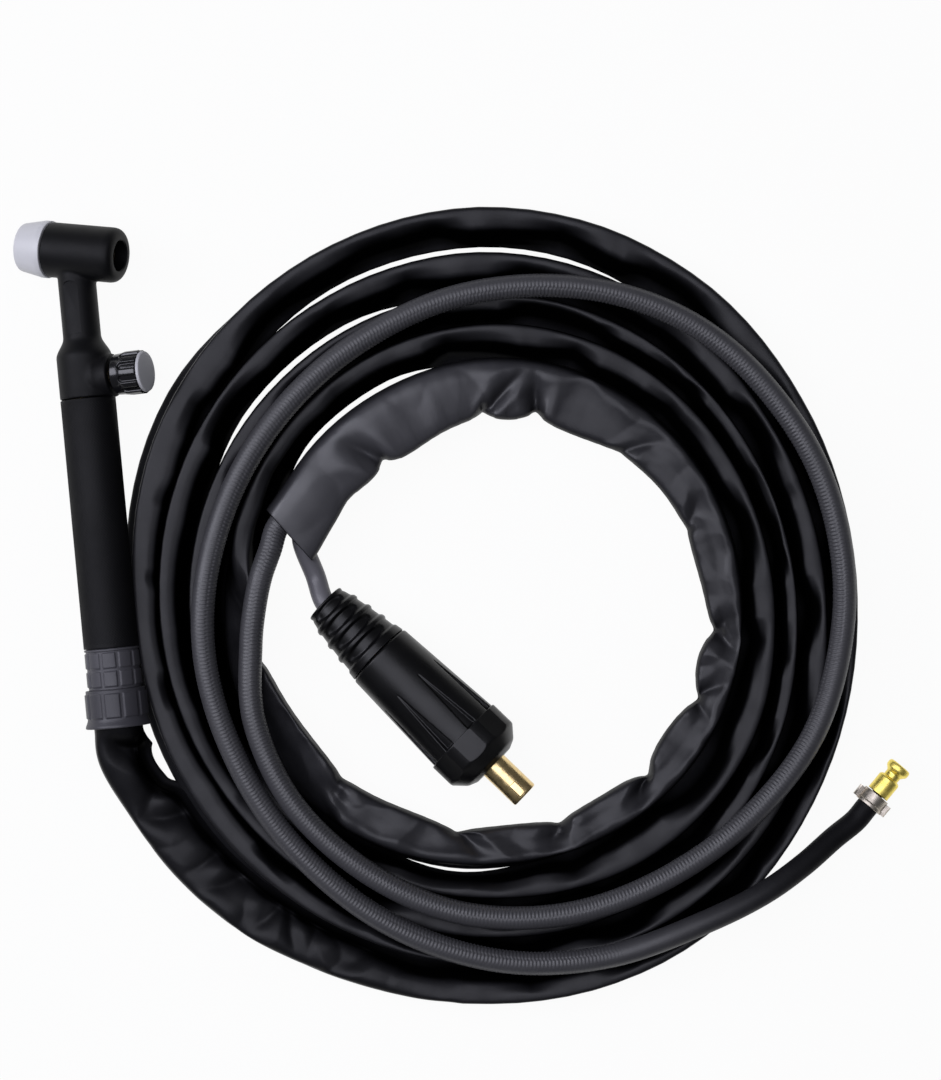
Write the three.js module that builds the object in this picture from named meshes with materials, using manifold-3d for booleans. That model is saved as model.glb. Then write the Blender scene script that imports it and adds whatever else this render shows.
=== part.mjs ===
// A gas-valve TIG torch with its covered lead: the handset lies on its side on the floor, its
// covered lead lies in a coil beside it, and the current plug and the gas nipple lie at the ends.
// Millimetres and degrees. X points to the coil, Y along the handle to the head, Z up.
import * as THREE from "three";
import { mergeVertices } from "three/addons/utils/BufferGeometryUtils.js";
import Module from "manifold-3d";

const wasm = await Module();
wasm.setup();

// ---------------------------------------------------------------- driving dimensions
const clearance = 0.3; // between pieces that seat on each other
const roll = 19; // the handset lies rolled about its handle, knob side up

// Head, measured along the barrel from the crossing with the handle's axis.
const headTilt = 11.4; // the barrel's rear leans this far towards the handle
const barrelRadius = 12.5;
const barrelFront = 11.5;
const barrelRear = 23.2;
const barrelRearRound = 4;
const capBoreRadius = 7;
const coreRadius = 9.2;
const coreRearInset = 6;
const coreBoreRadius = 4.4;
const coreRearThreadRadius = 6.3;
const coreRearThreadDepth = 12;
const coreFrontThreadRadius = 5.6;
const coreFrontThreadDepth = 11;
const coreNoseRadius = 7.9;
const coreNoseLength = 6.6;
const insulatorLength = 13.8;
const insulatorRearRadius = barrelRadius + 0.7;
const insulatorFrontRadius = barrelRadius - 1.5;
const insulatorEdgeRound = 1;
const insulatorRim = 2.5; // straight part at its rear

// Neck and valve housing, measured down the handle's axis from the barrel.
const neckRadius = 8.6;
const filletReach = 4; // the neck's root grows into the barrel this far above and below
const neckEnd = 38.8;
const bulgeStart = 48;
const bulgeRadius = 12.5;
const panelWidth = 8;
const panelLength = 24;
const panelTop = 13.5;
const panelDepth = 0.8;
const neckTubeRadius = 3.6;
const neckTubeBore = 2.4;
const socketDepth = 3;
const valveHeight = 57.6; // the knob's axis
const shellEnd = valveHeight + 9.2; // seam to the handle
const spigotLength = 8;

// Valve, measured out along the knob's axis from the handle's axis.
const valveBodyRadius = 7.6;
const valveBodyTop = 45.9;
const valveFlangeLength = 6.4;
const branchRadius = 6.2;
const branchEnd = 11;
const bossRadius = 9.9;
const bossEnd = 14.3;
const bossFoot = 11.4; // radius where the boss grows out of the housing
const needleRadius = 1.1; // at the seat
const needleTip = 0.4;
const needleLength = 3.6;
const seatDepth = 1.5; // the seat lies this far past the handle's axis
const stemRadius = 3.1;
const stemThinRadius = 2.3;
const stemShoulder = 7.2;
const stemEnd = 22.3;
const ringGrooveRadius = 1.85;
const ringGrooveStart = 4.2;
const ringThickness = 1;
const glandSkirtRadius = 4.7;
const glandSkirtDepth = 2.2;
const glandHeadRadius = 6;
const glandEnd = 14.9;
const passageRadius = 1.5;

const knobStart = 15.5;
const knobEnd = 30;
const knobRadius = 10;
const knobNeckRadius = 9.2;
const knobRibs = 10;
const fluteWidth = 3.4;
const fluteDepth = 1.2;
const fluteStart = 4.4; // from the knob's inner end to the flutes' round ends
const knobRecessRadius = 6.3;
const knobRecessDepth = 7.5;
const capThickness = 1.3;
const capRadius = 9.7;
const capSpigotLength = 2.6;
const screwHeadRadius = 3.6;
const screwHeadHeight = 2;
const screwShankRadius = 1.2;
const screwShankLength = 6;

// Handle and its rings.
const handleRadius = 12.5;
const handleLength = 113;
const handleBore = 10.8;
const tailBore = 10.4; // free bore inside the rings
const ringSpigotLength = 7;
const ringSpigotRadius = 11.3;
const endRingRadius = 12.4;
const endRingLength = 18.2;
const padCount = 10;
const padRise = 0.6;
const padGap = 7; // degrees between two pads
const endPadLength = 7;
const endPadGap = 1.4;
const ringNeckRadius = 11.7;
const ringNeckLength = 7.5;
const lockRingRadius = 13.5;
const lockRingLength = 17.2;
const lockPadLength = 11;
const lockPadStart = 1.6;
const lipRadius = 14.8;
const lipBore = 13.2;
const lipDepth = 4;
const collarLength = 5.4;

// Cable and hose, in the handle and outside it.
const cableRadius = 4.6;
const conductorRadius = 2.9;
const crimpLength = 18;
const crimpRadius = 4.4;
const crimpBoreDepth = 13;
const adapterStubRadius = 3;
const adapterCollarLength = 4;
const hoseRadius = 5.25;
const hoseBore = 3.5;
const barbLength = 15;
const barbStemRadius = 2.7;
const barbRadius = 3.2;
const barbCollarLength = 1.6;
const barbCollarRadius = 4.4;
const barbCount = 3;

// Cover: a soft tube that stands on edge in the coil and lies flat at both ends.
const coverWidth = 13;
const coverTall = 19;
const mouthWidth = 28.5;
const mouthTall = 14.4;
const mouthWall = 1.2;
const mouthDepth = 15;
const mouthRoll = 28;
const mouthLift = 20;
const mouthRun = 25; // straight run before the mouth
const coilOffset = [161.2, 34.9]; // the coil's centre from the handle's side and rear end
const coilStart = -95.4; // direction of the coil's start, seen from its centre
const coilTurns = 4.651;
const coilStepsPerTurn = 24;
// How far the cover's outer edge lies from the coil's centre, every 30 degrees, one loop a row.
// Each loop fills the room to the next, and the last row is the last loop's inner edge.
const coverEdges = [
  181.5, 179.5, 171, 166, 168.5, 176.5, 181, 178.5, 172.5, 163, 161.5, 162,
  164, 164.5, 159, 152, 151, 156, 160.5, 159, 155.5, 151.5, 149.5, 149.5,
  151.5, 151, 145, 138.5, 137, 139.5, 142, 141.5, 139.5, 138, 137, 135,
  133.5, 135.5, 134, 128.5, 127, 128, 128, 126, 123, 122, 123, 121,
  117.5, 116.5, 115.5, 113, 112.5, 112.5, 112, 109.5, 108.5, 107, 105, 103,
  101.5, 99.5, 99, 98.5, 93.5, 87.5, 84.5, 80.5, 79, 79,
];
const loopGap = 0.8; // between two loops
const wideGap = 3.5; // between two loops where they lie apart
const wideGaps = [[0.52, 0.14], [1.61, 0.1], [3.6, 0.09]]; // where, and how far to both sides
const ridgeShift = 0.12; // of the width: the cover's ridge lies towards its outer side
const leadRadius = 11.1;

// Plug, measured along its axis from the end that the cable enters.
const bootLength = 34;
const bootEndRadius = 9.5;
const bootFrontRadius = 15.8;
const bootSwell = 0.6; // under 1, its rings grow fastest near the cable
const bootRibs = 5;
const bootRibRise = 1.5;
const plugBodyLength = 53.2;
const plugBodyRadius = 16.2;
const plugBodyFrontRadius = 18.8;
const fluteCount = 8;
const plugFluteRadius = 16.9;
const plugFluteWidth = 5;
const plugFluteStart = 20; // from the body's start
const collarRadius = 20.2;
const collarFlat = 19.4; // from the axis to each of its flats
const collarCylinder = 11.4;
const collarChamfer = 6;
const collarShoulderRadius = 14.7;
const collarFaceRadius = 10.5;
const collarFaceRise = 1.8;
const pinRadius = 6.5;
const pinLength = 19.6;
const pinChamfer = 0.9;
const lugWidth = 3.6;
const lugRise = 1.1;
const lugLength = 7;
const socketRadius = 8.4;
const socketLength = 40;
const socketBore = 5.2;
const socketBoreDepth = 26;
const pinFlangeRadius = 10.4;
const pinFlangeLength = 5;
const setScrewRadius = 2.9;
const setScrewPitch = 10;
const plugConductorRadius = 3.8;
const setScrewStart = 7; // from the socket's mouth
const plugAngle = -49; // the plug's direction in the plan
const plugPlace = [-75.7, 8]; // the end of its boot, from the coil's centre
const cableBend = [-78.9, 20.2, 10.2]; // on the cable between mouth and plug
const cableEnd = 26; // how far the cable's jacket reaches into the plug

// Clamp and nipple on the hose.
const hoseOuterRadius = 5.5;
const clampThickness = 1;
const clampWidth = 6;
const earReach = 3.2;
const earWidth = 4.4;
const nippleTailLength = 17;
const nippleBore = 1.8;
const nippleShoulderRadius = 5.3;
const nippleShoulderLength = 9.2;
const nippleNeckRadius = 3.6;
const nippleNeckLength = 2.4;
const nippleEndRadius = 5.6;
const nippleEndLength = 5;
const nippleConeLength = 1.8; // from the neck out to the end's full radius
const nippleEdgeRound = 1.4;

// ---------------------------------------------------------------- materials
function material(color, roughness, metalness = 0) {
  return new THREE.MeshStandardMaterial({ color, roughness, metalness });
}
const blackMoulding = material(0x1b1b1e, 0.5);
const blackGloss = material(0x0d0d10, 0.2);
const greyPlastic = material(0x54545a, 0.5);
const lightGrey = material(0x6e6e76, 0.5);
const whitePlastic = material(0xdcdde2, 0.4);
const brass = material(0xc8a750, 0.3, 1);
const copper = material(0xb87348, 0.35, 1);
const steel = material(0xb5b5b8, 0.3, 1);
const rubber = material(0x121215, 0.45);
const coverBlack = material(0x18181b, 0.35);
const hoseBlack = material(0x2a2a2e, 0.6);

// ---------------------------------------------------------------- geometry helpers
const radians = THREE.MathUtils.degToRad;
const { smoothstep, lerp } = THREE.MathUtils;

// Turns a profile of [radius, height] pairs about Y. The profile either starts and ends on the
// axis or closes on itself.
function turned(profile, sides = 28) {
  const points = profile.map(([radius, height]) => new THREE.Vector2(radius, height));
  const hollow = points[0].x > 0;
  if (THREE.ShapeUtils.area(points) < 0) points.reverse();
  if (hollow) points.push(points[0].clone());
  return new THREE.LatheGeometry(points, sides);
}

// A cylinder or ring between two heights.
function ring(inner, outer, low, high, sides = 28) {
  if (inner <= 0) return turned([[0, low], [outer, low], [outer, high], [0, high]], sides);
  return turned([[inner, low], [outer, low], [outer, high], [inner, high]], sides);
}

function arcPoints(centreRadius, centreHeight, radius, from, to, steps) {
  const points = [];
  for (let step = 0; step <= steps; step++) {
    const angle = radians(from + ((to - from) * step) / steps);
    points.push([centreRadius + radius * Math.cos(angle), centreHeight + radius * Math.sin(angle)]);
  }
  return points;
}

function solidOf(geometry) {
  const bare = geometry.clone();
  bare.deleteAttribute("normal");
  bare.deleteAttribute("uv");
  const merged = mergeVertices(bare, 1e-4);
  return new wasm.Manifold(
    new wasm.Mesh({
      numProp: 3,
      vertProperties: merged.attributes.position.array,
      triVerts: new Uint32Array(merged.index.array),
    }),
  );
}

function geometryOf(solid) {
  const mesh = solid.getMesh();
  const geometry = new THREE.BufferGeometry();
  geometry.setAttribute("position", new THREE.BufferAttribute(mesh.vertProperties, 3));
  geometry.setIndex(new THREE.BufferAttribute(mesh.triVerts, 1));
  geometry.computeVertexNormals();
  return geometry;
}

function joined(...geometries) {
  return geometryOf(geometries.map(solidOf).reduce((all, next) => all.add(next)));
}

function cut(body, ...tools) {
  return geometryOf(tools.map(solidOf).reduce((all, tool) => all.subtract(tool), solidOf(body)));
}

// Lays a Y-axis piece along the direction at this angle from +X, from a start point.
function laid(geometry, angle, x = 0, y = 0, z = 0) {
  const placed = geometry.clone();
  placed.rotateZ(radians(angle - 90));
  placed.translate(x, y, z);
  return placed;
}

function extruded(outline, depth, curveSegments = 1) {
  return new THREE.ExtrudeGeometry(outline, { depth, bevelEnabled: false, curveSegments });
}

function named(name, geometry, finish) {
  const mesh = new THREE.Mesh(geometry, finish);
  mesh.name = name;
  return mesh;
}

// ---------------------------------------------------------------- handset: head
const rearwards = -headTilt;
const coreFront = -(barrelFront + coreNoseLength);
const coreRear = barrelRear - coreRearInset;
const seam = -shellEnd;
const valveY = -valveHeight;

function headCore() {
  const body = turned(
    [
      [coreFrontThreadRadius, coreFront],
      [coreNoseRadius, coreFront],
      [coreNoseRadius, -barrelFront],
      [coreRadius, -barrelFront],
      [coreRadius, coreRear],
      [coreRearThreadRadius, coreRear],
      [coreRearThreadRadius, coreRear - coreRearThreadDepth],
      [coreBoreRadius, coreRear - coreRearThreadDepth - 1],
      [coreBoreRadius, coreFront + coreFrontThreadDepth + 1],
      [coreFrontThreadRadius, coreFront + coreFrontThreadDepth],
    ],
    24,
  );
  const socketFloor = -coreRadius + socketDepth - 1;
  const tubeSocket = ring(0, neckTubeRadius + clearance, -coreRadius - 3, socketFloor, 16);
  const port = ring(0, passageRadius, -coreRadius, 0, 12);
  return cut(laid(body, rearwards), tubeSocket, port);
}

function frontInsulator() {
  const rear = -(barrelFront + clearance);
  const front = rear - insulatorLength;
  const bore = coreNoseRadius + clearance;
  const round = insulatorEdgeRound;
  return laid(
    turned([
      [bore, rear],
      [insulatorRearRadius, rear],
      [insulatorRearRadius, rear - insulatorRim],
      ...arcPoints(insulatorFrontRadius - round, front + round, round, 0, -90, 3),
      [bore, front],
    ]),
    rearwards,
  );
}

// The moulding over head, neck and valve, with the cavities for what it covers.
function headShell() {
  const rearRound = barrelRearRound;
  const barrel = laid(
    turned([
      [0, -barrelFront],
      [barrelRadius - 0.4, -barrelFront],
      [barrelRadius, -barrelFront + 0.6],
      ...arcPoints(barrelRadius - rearRound, barrelRear - rearRound, rearRound, 0, 90, 5),
      [0, barrelRear],
    ]),
    rearwards,
  );
  const flare = [];
  for (let step = 0; step <= 6; step++) {
    const share = step / 6;
    const radius = lerp(neckRadius, bulgeRadius, smoothstep(share, 0, 1));
    flare.push([radius, -lerp(neckEnd, bulgeStart, share)]);
  }
  const spigotEnd = seam - spigotLength;
  const neck = turned([
    [0, 0],
    [neckRadius, 0],
    [neckRadius, -barrelRadius],
    ...flare,
    [bulgeRadius, seam],
    [handleBore - clearance, seam],
    [handleBore - clearance, spigotEnd],
    [0, spigotEnd],
  ]);
  const fillet = turned(
    [
      [0, -barrelRadius + filletReach],
      [neckRadius + 2.4, -barrelRadius + filletReach],
      [neckRadius + 1.4, -barrelRadius + 0.15 * filletReach],
      [neckRadius + 0.5, -barrelRadius - 0.35 * filletReach],
      [neckRadius - 0.2, -barrelRadius - filletReach],
      [0, -barrelRadius - filletReach],
    ],
    24,
  );
  const boss = laid(
    turned(
      [
        [0, 0],
        [bossFoot, 0],
        [bossFoot, bossEnd - 6.4],
        [bossRadius + 0.5, bossEnd - 4.6],
        [bossRadius, bossEnd - 2.6],
        [bossRadius, bossEnd - 0.6],
        [bossRadius - 0.6, bossEnd],
        [0, bossEnd],
      ],
      28,
    ),
    0,
    0,
    valveY,
  );
  const panelOutline = new THREE.Shape();
  panelOutline.moveTo(-panelWidth / 2, -panelTop - panelLength);
  panelOutline.lineTo(panelWidth / 2, -panelTop - panelLength);
  panelOutline.lineTo(panelWidth / 2, -panelTop - panelWidth / 2);
  panelOutline.absarc(0, -panelTop - panelWidth / 2, panelWidth / 2, 0, Math.PI, false);
  const panel = extruded(panelOutline, neckRadius, 6);
  panel.translate(0, 0, neckRadius - panelDepth);
  const belowSeam = ring(handleBore - clearance, 2 * bossEnd, spigotEnd - 1, seam);
  const coreLength = [-barrelFront - 1, coreRear + clearance];
  const coreSpace = laid(ring(0, coreRadius + clearance, ...coreLength, 24), rearwards);
  const capBore = laid(ring(0, capBoreRadius, 0, barrelRear + 1, 24), rearwards);
  const tubeSpace = ring(0, neckTubeRadius + clearance, valveY, 0, 16);
  const valveTop = -valveBodyTop + clearance;
  const valveSpace = ring(0, valveBodyRadius + clearance, spigotEnd - 1, valveTop, 24);
  const branchSpace = laid(ring(0, branchRadius + clearance, 0, bossEnd + 1, 24), 0, 0, valveY);
  const spaces = [coreSpace, capBore, tubeSpace, valveSpace, branchSpace];
  return cut(joined(barrel, neck, fillet, boss), panel, belowSeam, ...spaces);
}

const head = new THREE.Group();
head.add(
  named("head_shell", headShell(), blackMoulding),
  named("head_core", headCore(), brass),
  named("front_insulator", frontInsulator(), whitePlastic),
  named(
    "neck_tube",
    ring(neckTubeBore, neckTubeRadius, -valveBodyTop - socketDepth + clearance, -coreRadius + 1.4, 16),
    copper,
  ),
);

// ---------------------------------------------------------------- handset: valve
const flangeTop = seam - spigotLength - clearance;
const flangeEnd = flangeTop - valveFlangeLength;
const hoseX = -(tailBore - clearance - hoseRadius); // hose and cable lie side by side in the handle
const cableX = tailBore - clearance - cableRadius;
const boreRadius = stemRadius + clearance;
const seatRadius = needleRadius + clearance;

function valveBody() {
  const trunk = turned(
    [
      [0, -valveBodyTop],
      [valveBodyRadius, -valveBodyTop],
      [valveBodyRadius, flangeTop],
      [tailBore - clearance, flangeTop],
      [tailBore - clearance, flangeEnd],
      [0, flangeEnd],
    ],
    24,
  );
  const branch = laid(ring(0, branchRadius, 0, branchEnd, 24), 0, 0, valveY);
  const chamber = laid(ring(0, boreRadius, -seatDepth, branchEnd + 1, 20), 0, 0, valveY);
  const skirtFloor = branchEnd - glandSkirtDepth - clearance;
  const skirt = ring(0, glandSkirtRadius + clearance, skirtFloor, branchEnd + 1, 20);
  const glandSpace = laid(skirt, 0, 0, valveY);
  const seat = laid(ring(0, seatRadius, hoseX - passageRadius, 0, 12), 0, 0, valveY);
  const inlet = ring(0, passageRadius, flangeEnd - 1, valveY, 12);
  inlet.translate(hoseX, 0, 0);
  const outlet = ring(0, passageRadius, valveY, -valveBodyTop + 1, 12);
  const socketEnds = [-valveBodyTop - socketDepth, 1 - valveBodyTop];
  const tubeSocket = ring(0, neckTubeRadius + clearance, ...socketEnds, 16);
  const barbHole = ring(0, barbStemRadius + clearance, flangeEnd - 1, flangeEnd + 4, 16);
  barbHole.translate(hoseX, 0, 0);
  const stubHole = ring(0, adapterStubRadius + clearance, flangeEnd - 1, flangeEnd + 5, 16);
  stubHole.translate(cableX, 0, 0);
  const ways = [chamber, glandSpace, seat, inlet, outlet];
  return cut(joined(trunk, branch), ...ways, tubeSocket, barbHole, stubHole);
}

function valveStem() {
  const tip = -seatDepth - needleLength / 2;
  const cone = tip + needleLength;
  return cut(
    turned(
      [
        [0, tip],
        [needleTip, tip],
        [2 * needleRadius - needleTip, cone],
        [stemRadius, cone],
        [stemRadius, ringGrooveStart],
        [ringGrooveRadius, ringGrooveStart],
        [ringGrooveRadius, ringGrooveStart + ringThickness + 2 * clearance],
        [stemRadius, ringGrooveStart + ringThickness + 2 * clearance],
        [stemRadius, stemShoulder],
        [stemThinRadius, stemShoulder],
        [stemThinRadius, stemEnd],
        [0, stemEnd],
      ],
      16,
    ),
    ring(0, screwShankRadius + clearance, stemEnd - screwShankLength - clearance, stemEnd + 1, 12),
  );
}

function valveRing() {
  const thick = (ringThickness - 0.1) / 2;
  const middle = (ringGrooveRadius + boreRadius) / 2;
  return turned(
    arcPoints(middle, ringGrooveStart + clearance + ringThickness / 2, thick, 0, 300, 5),
    16,
  );
}

function valveGland() {
  return turned(
    [
      [stemThinRadius + clearance, branchEnd - glandSkirtDepth],
      [glandSkirtRadius, branchEnd - glandSkirtDepth],
      [glandSkirtRadius, branchEnd + clearance],
      [glandHeadRadius, branchEnd + clearance],
      [glandHeadRadius, glandEnd - 0.5],
      [glandHeadRadius - 0.5, glandEnd],
      [stemThinRadius + clearance, glandEnd],
    ],
    20,
  );
}

// A straight flute with a round inner end, cut along the knob.
function knobFlute() {
  const outline = new THREE.Shape();
  const half = fluteWidth / 2;
  const start = knobStart + fluteStart + half;
  outline.moveTo(half, knobEnd + 1);
  outline.lineTo(-half, knobEnd + 1);
  outline.absarc(0, start, half, Math.PI, 2 * Math.PI, false);
  return extruded(outline, 3 * fluteDepth, 3).translate(0, 0, knobRadius - fluteDepth);
}

const knobFace = knobEnd - capThickness;
function valveKnob() {
  const body = turned(
    [
      [stemThinRadius + clearance, knobStart],
      [knobNeckRadius - 0.6, knobStart],
      [knobNeckRadius, knobStart + 0.6],
      [knobNeckRadius + 0.2, knobStart + fluteStart - 0.6],
      [knobRadius, knobStart + fluteStart + 1.6],
      [knobRadius, knobFace],
      [knobRecessRadius, knobFace],
      [knobRecessRadius, knobFace - knobRecessDepth],
      [stemThinRadius + clearance, knobFace - knobRecessDepth],
    ],
    30,
  );
  const flutes = [];
  for (let index = 0; index < knobRibs; index++) {
    flutes.push(knobFlute().rotateY((2 * Math.PI * (index + 0.5)) / knobRibs));
  }
  return cut(body, ...flutes);
}

function knobCap() {
  const seat = knobFace + clearance;
  return turned([
    [0, seat - capSpigotLength],
    [knobRecessRadius - clearance, seat - capSpigotLength],
    [knobRecessRadius - clearance, seat],
    [capRadius, seat],
    [capRadius, knobEnd - 0.2],
    [capRadius - 0.5, knobEnd + 0.3],
    [0, knobEnd + 0.5],
  ]);
}

function knobScrew() {
  const under = stemEnd + clearance;
  return turned(
    [
      [0, stemEnd - screwShankLength],
      [screwShankRadius, stemEnd - screwShankLength],
      [screwShankRadius, under],
      [screwHeadRadius, under],
      [screwHeadRadius, under + screwHeadHeight - 0.5],
      [screwHeadRadius - 0.9, under + screwHeadHeight],
      [0, under + screwHeadHeight],
    ],
    16,
  );
}

head.add(named("valve_body", valveBody(), brass));
const stemGroup = new THREE.Group();
stemGroup.position.y = valveY;
stemGroup.rotation.z = radians(-90);
stemGroup.add(
  named("valve_gland", valveGland(), brass),
  named("valve_stem", valveStem(), brass),
  named("valve_o_ring", valveRing(), rubber),
  named("valve_knob", valveKnob(), blackGloss),
  named("knob_screw", knobScrew(), steel),
  named("knob_cap", knobCap(), lightGrey),
);
head.add(stemGroup);

// ---------------------------------------------------------------- handset: handle and tails
const handleTop = seam - clearance;
const handleEnd = handleTop - handleLength;
const endRingTop = handleEnd - clearance;
const endRingEnd = endRingTop - endRingLength;
const lockTop = endRingEnd - clearance;
const lockEnd = lockTop - lockRingLength;
const neckTip = endRingEnd - ringNeckLength;
const collarTop = neckTip - clearance;
const collarEnd = collarTop - collarLength;
const coverTop = collarEnd - clearance; // where the cover begins

function handle() {
  const counterbore = ringSpigotRadius + clearance;
  return turned(
    [
      [handleBore, handleTop],
      [handleRadius - 0.3, handleTop],
      [handleRadius, handleTop - 0.5],
      [handleRadius, handleEnd + 0.5],
      [handleRadius - 0.3, handleEnd],
      [counterbore, handleEnd],
      [counterbore, handleEnd + ringSpigotLength + clearance],
      [handleBore, handleEnd + ringSpigotLength + clearance],
    ],
    36,
  );
}

// A row of raised pads around a ring, as one toothed band.
function padRow(radius, bore, top, length) {
  const outline = new THREE.Shape();
  const stepAngle = 360 / padCount;
  for (let pad = 0; pad < padCount; pad++) {
    const from = pad * stepAngle + padGap / 2;
    const to = (pad + 1) * stepAngle - padGap / 2;
    for (const [angle, reach] of [
      [from - 0.6, radius],
      [from, radius + padRise],
      [(2 * from + to) / 3, radius + padRise],
      [(from + 2 * to) / 3, radius + padRise],
      [to, radius + padRise],
      [to + 0.6, radius],
    ]) {
      const x = reach * Math.cos(radians(angle));
      const y = reach * Math.sin(radians(angle));
      if (pad === 0 && angle < from) outline.moveTo(x, y);
      else outline.lineTo(x, y);
    }
  }
  const hole = new THREE.Path();
  hole.absarc(0, 0, bore, 0, 2 * Math.PI, true);
  outline.holes.push(hole);
  const band = extruded(outline, length, 10);
  band.rotateX(Math.PI / 2); // the extrusion now runs down from its start
  band.translate(0, top, 0);
  return band;
}

function handleEndRing() {
  const base = endRingRadius - padRise;
  const body = turned([
    [tailBore, endRingTop + ringSpigotLength],
    [ringSpigotRadius, endRingTop + ringSpigotLength],
    [ringSpigotRadius, endRingTop],
    [endRingRadius - 0.3, endRingTop],
    [endRingRadius, endRingTop - 0.4],
    [endRingRadius, endRingTop - 0.9],
    [base, endRingTop - 1],
    [base, endRingEnd],
    [ringNeckRadius, endRingEnd],
    [ringNeckRadius, neckTip],
    [tailBore, neckTip],
  ]);
  const rows = [];
  for (let row = 0; row < 2; row++) {
    const top = endRingTop - 1 - endPadGap / 2 - row * (endPadLength + endPadGap);
    rows.push(padRow(base, base - 0.8, top, endPadLength));
  }
  return joined(body, ...rows);
}

function lockRing() {
  const bore = ringNeckRadius + clearance;
  const lipTop = lockEnd + lipDepth;
  const body = turned([
    [bore, lockTop],
    [lockRingRadius - 0.4, lockTop],
    [lockRingRadius, lockTop - 0.5],
    [lockRingRadius, lockTop - lockPadStart - lockPadLength - 1],
    [lipRadius, lockEnd + 1.2],
    [lipRadius, lockEnd + 0.4],
    [lipRadius - 0.4, lockEnd],
    [lipBore, lockEnd],
    [bore, lipTop],
  ]);
  const pads = padRow(lockRingRadius, lockRingRadius - 0.8, lockTop - lockPadStart, lockPadLength);
  return joined(body, pads);
}

function sheathCollar() {
  return ring(tailBore, ringNeckRadius, collarEnd, collarTop);
}

function gasBarb() {
  const top = flangeEnd + 3.6;
  const stemTop = flangeEnd - clearance - barbCollarLength;
  const profile = [
    [passageRadius, top],
    [barbStemRadius, top],
    [barbStemRadius, flangeEnd - clearance],
    [barbCollarRadius, flangeEnd - clearance],
    [barbCollarRadius, stemTop],
    [barbStemRadius, stemTop],
  ];
  const pitch = barbLength / barbCount;
  for (let barb = 0; barb < barbCount; barb++) {
    profile.push([barbRadius, stemTop - pitch * barb - pitch * 0.3]);
    profile.push([barbStemRadius - 0.2, stemTop - pitch * (barb + 1)]);
  }
  profile.push([passageRadius, stemTop - barbLength]);
  return turned(profile, 16).translate(hoseX, 0, 0);
}

function cableAdapter() {
  const collarTopY = flangeEnd - clearance;
  const barrelTop = collarTopY - adapterCollarLength;
  const barrelEnd = barrelTop - crimpLength;
  const bore = conductorRadius + clearance;
  return turned(
    [
      [0, flangeEnd + 4.6],
      [adapterStubRadius, flangeEnd + 4.6],
      [adapterStubRadius, collarTopY],
      [crimpRadius, collarTopY],
      [crimpRadius, barrelTop],
      [crimpRadius - 0.4, barrelTop - 0.6],
      [crimpRadius - 0.4, barrelEnd],
      [bore, barrelEnd],
      [bore, barrelEnd + crimpBoreDepth],
      [0, barrelEnd + crimpBoreDepth],
    ],
    20,
  ).translate(cableX, 0, 0);
}

const crimpEnd = flangeEnd - clearance - adapterCollarLength - crimpLength;
const strandsEnd = crimpEnd + crimpBoreDepth - clearance;
const tailInside = conductorRadius + clearance;
const hoseTop = flangeEnd - clearance - barbCollarLength - clearance;
const handset = new THREE.Group();
handset.add(
  head,
  named("handle", handle(), blackMoulding),
  named("handle_end_ring", handleEndRing(), greyPlastic),
  named("lock_ring", lockRing(), greyPlastic),
  named("sheath_collar", sheathCollar(), greyPlastic),
  named("gas_barb", gasBarb(), brass),
  named("cable_adapter", cableAdapter(), brass),
  named(
    "cable_strands",
    ring(0, conductorRadius, collarEnd, strandsEnd, 16).translate(cableX, 0, 0),
    copper,
  ),
  named(
    "cable_tail",
    ring(tailInside, cableRadius, collarEnd, crimpEnd - clearance, 20).translate(cableX, 0, 0),
    rubber,
  ),
  named(
    "hose_tail",
    ring(hoseBore, hoseRadius, collarEnd, hoseTop, 20).translate(hoseX, 0, 0),
    hoseBlack,
  ),
);
handset.rotation.y = radians(-roll);

// ---------------------------------------------------------------- where the handset lies
handset.updateMatrixWorld(true);
const handsetBox = new THREE.Box3().setFromObject(handset, true);
const middle = handsetBox.getCenter(new THREE.Vector3());
handset.position.set(-middle.x, -middle.y, -handsetBox.min.z);
const exit = new THREE.Vector3(-middle.x, coverTop - middle.y, -handsetBox.min.z);
// The coil lies beside the handle and level with its rear end.
const coilCentre = new THREE.Vector2(exit.x + handleRadius + coilOffset[0], exit.y + coilOffset[1]);

// ---------------------------------------------------------------- the covered lead's coil
// The cover's edge at a turn, by a smooth curve through the distances above.
function coverEdge(turn) {
  const place = Math.max(turn, 0) * 12;
  const index = Math.floor(place);
  const share = place - index;
  const [before, from, to, after] = [-1, 0, 1, 2].map((step) => {
    return coverEdges[Math.min(Math.max(index + step, 0), coverEdges.length - 1)];
  });
  const leaving = (to - before) / 2;
  const arriving = (after - from) / 2;
  const bend = 2 * (from - to) + leaving + arriving;
  const rise = 3 * (to - from) - 2 * leaving - arriving;
  return from + share * (leaving + share * (rise + share * bend));
}

function gapAt(turn) {
  const shut = wideGaps.map(([middle, reach]) =>
    smoothstep(Math.abs(turn - middle), 0.3 * reach, reach),
  );
  return lerp(wideGap, loopGap, Math.min(...shut));
}

function coverWidthAt(turn) {
  return coverEdge(turn) - coverEdge(turn + 1) - gapAt(turn);
}

function coverTallAt(width) {
  const share = (width - coverWidth) / (mouthWidth - coverWidth);
  return lerp(coverTall, mouthTall, THREE.MathUtils.clamp(share, 0, 1));
}

// The centre of the cover in the coil, by turns from the coil's start.
function coilPoint(turn) {
  const angle = radians(360 * turn + coilStart);
  const outward = new THREE.Vector2(Math.cos(angle), Math.sin(angle));
  return outward.multiplyScalar(coverEdge(turn) - coverWidthAt(turn) / 2).add(coilCentre);
}

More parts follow.
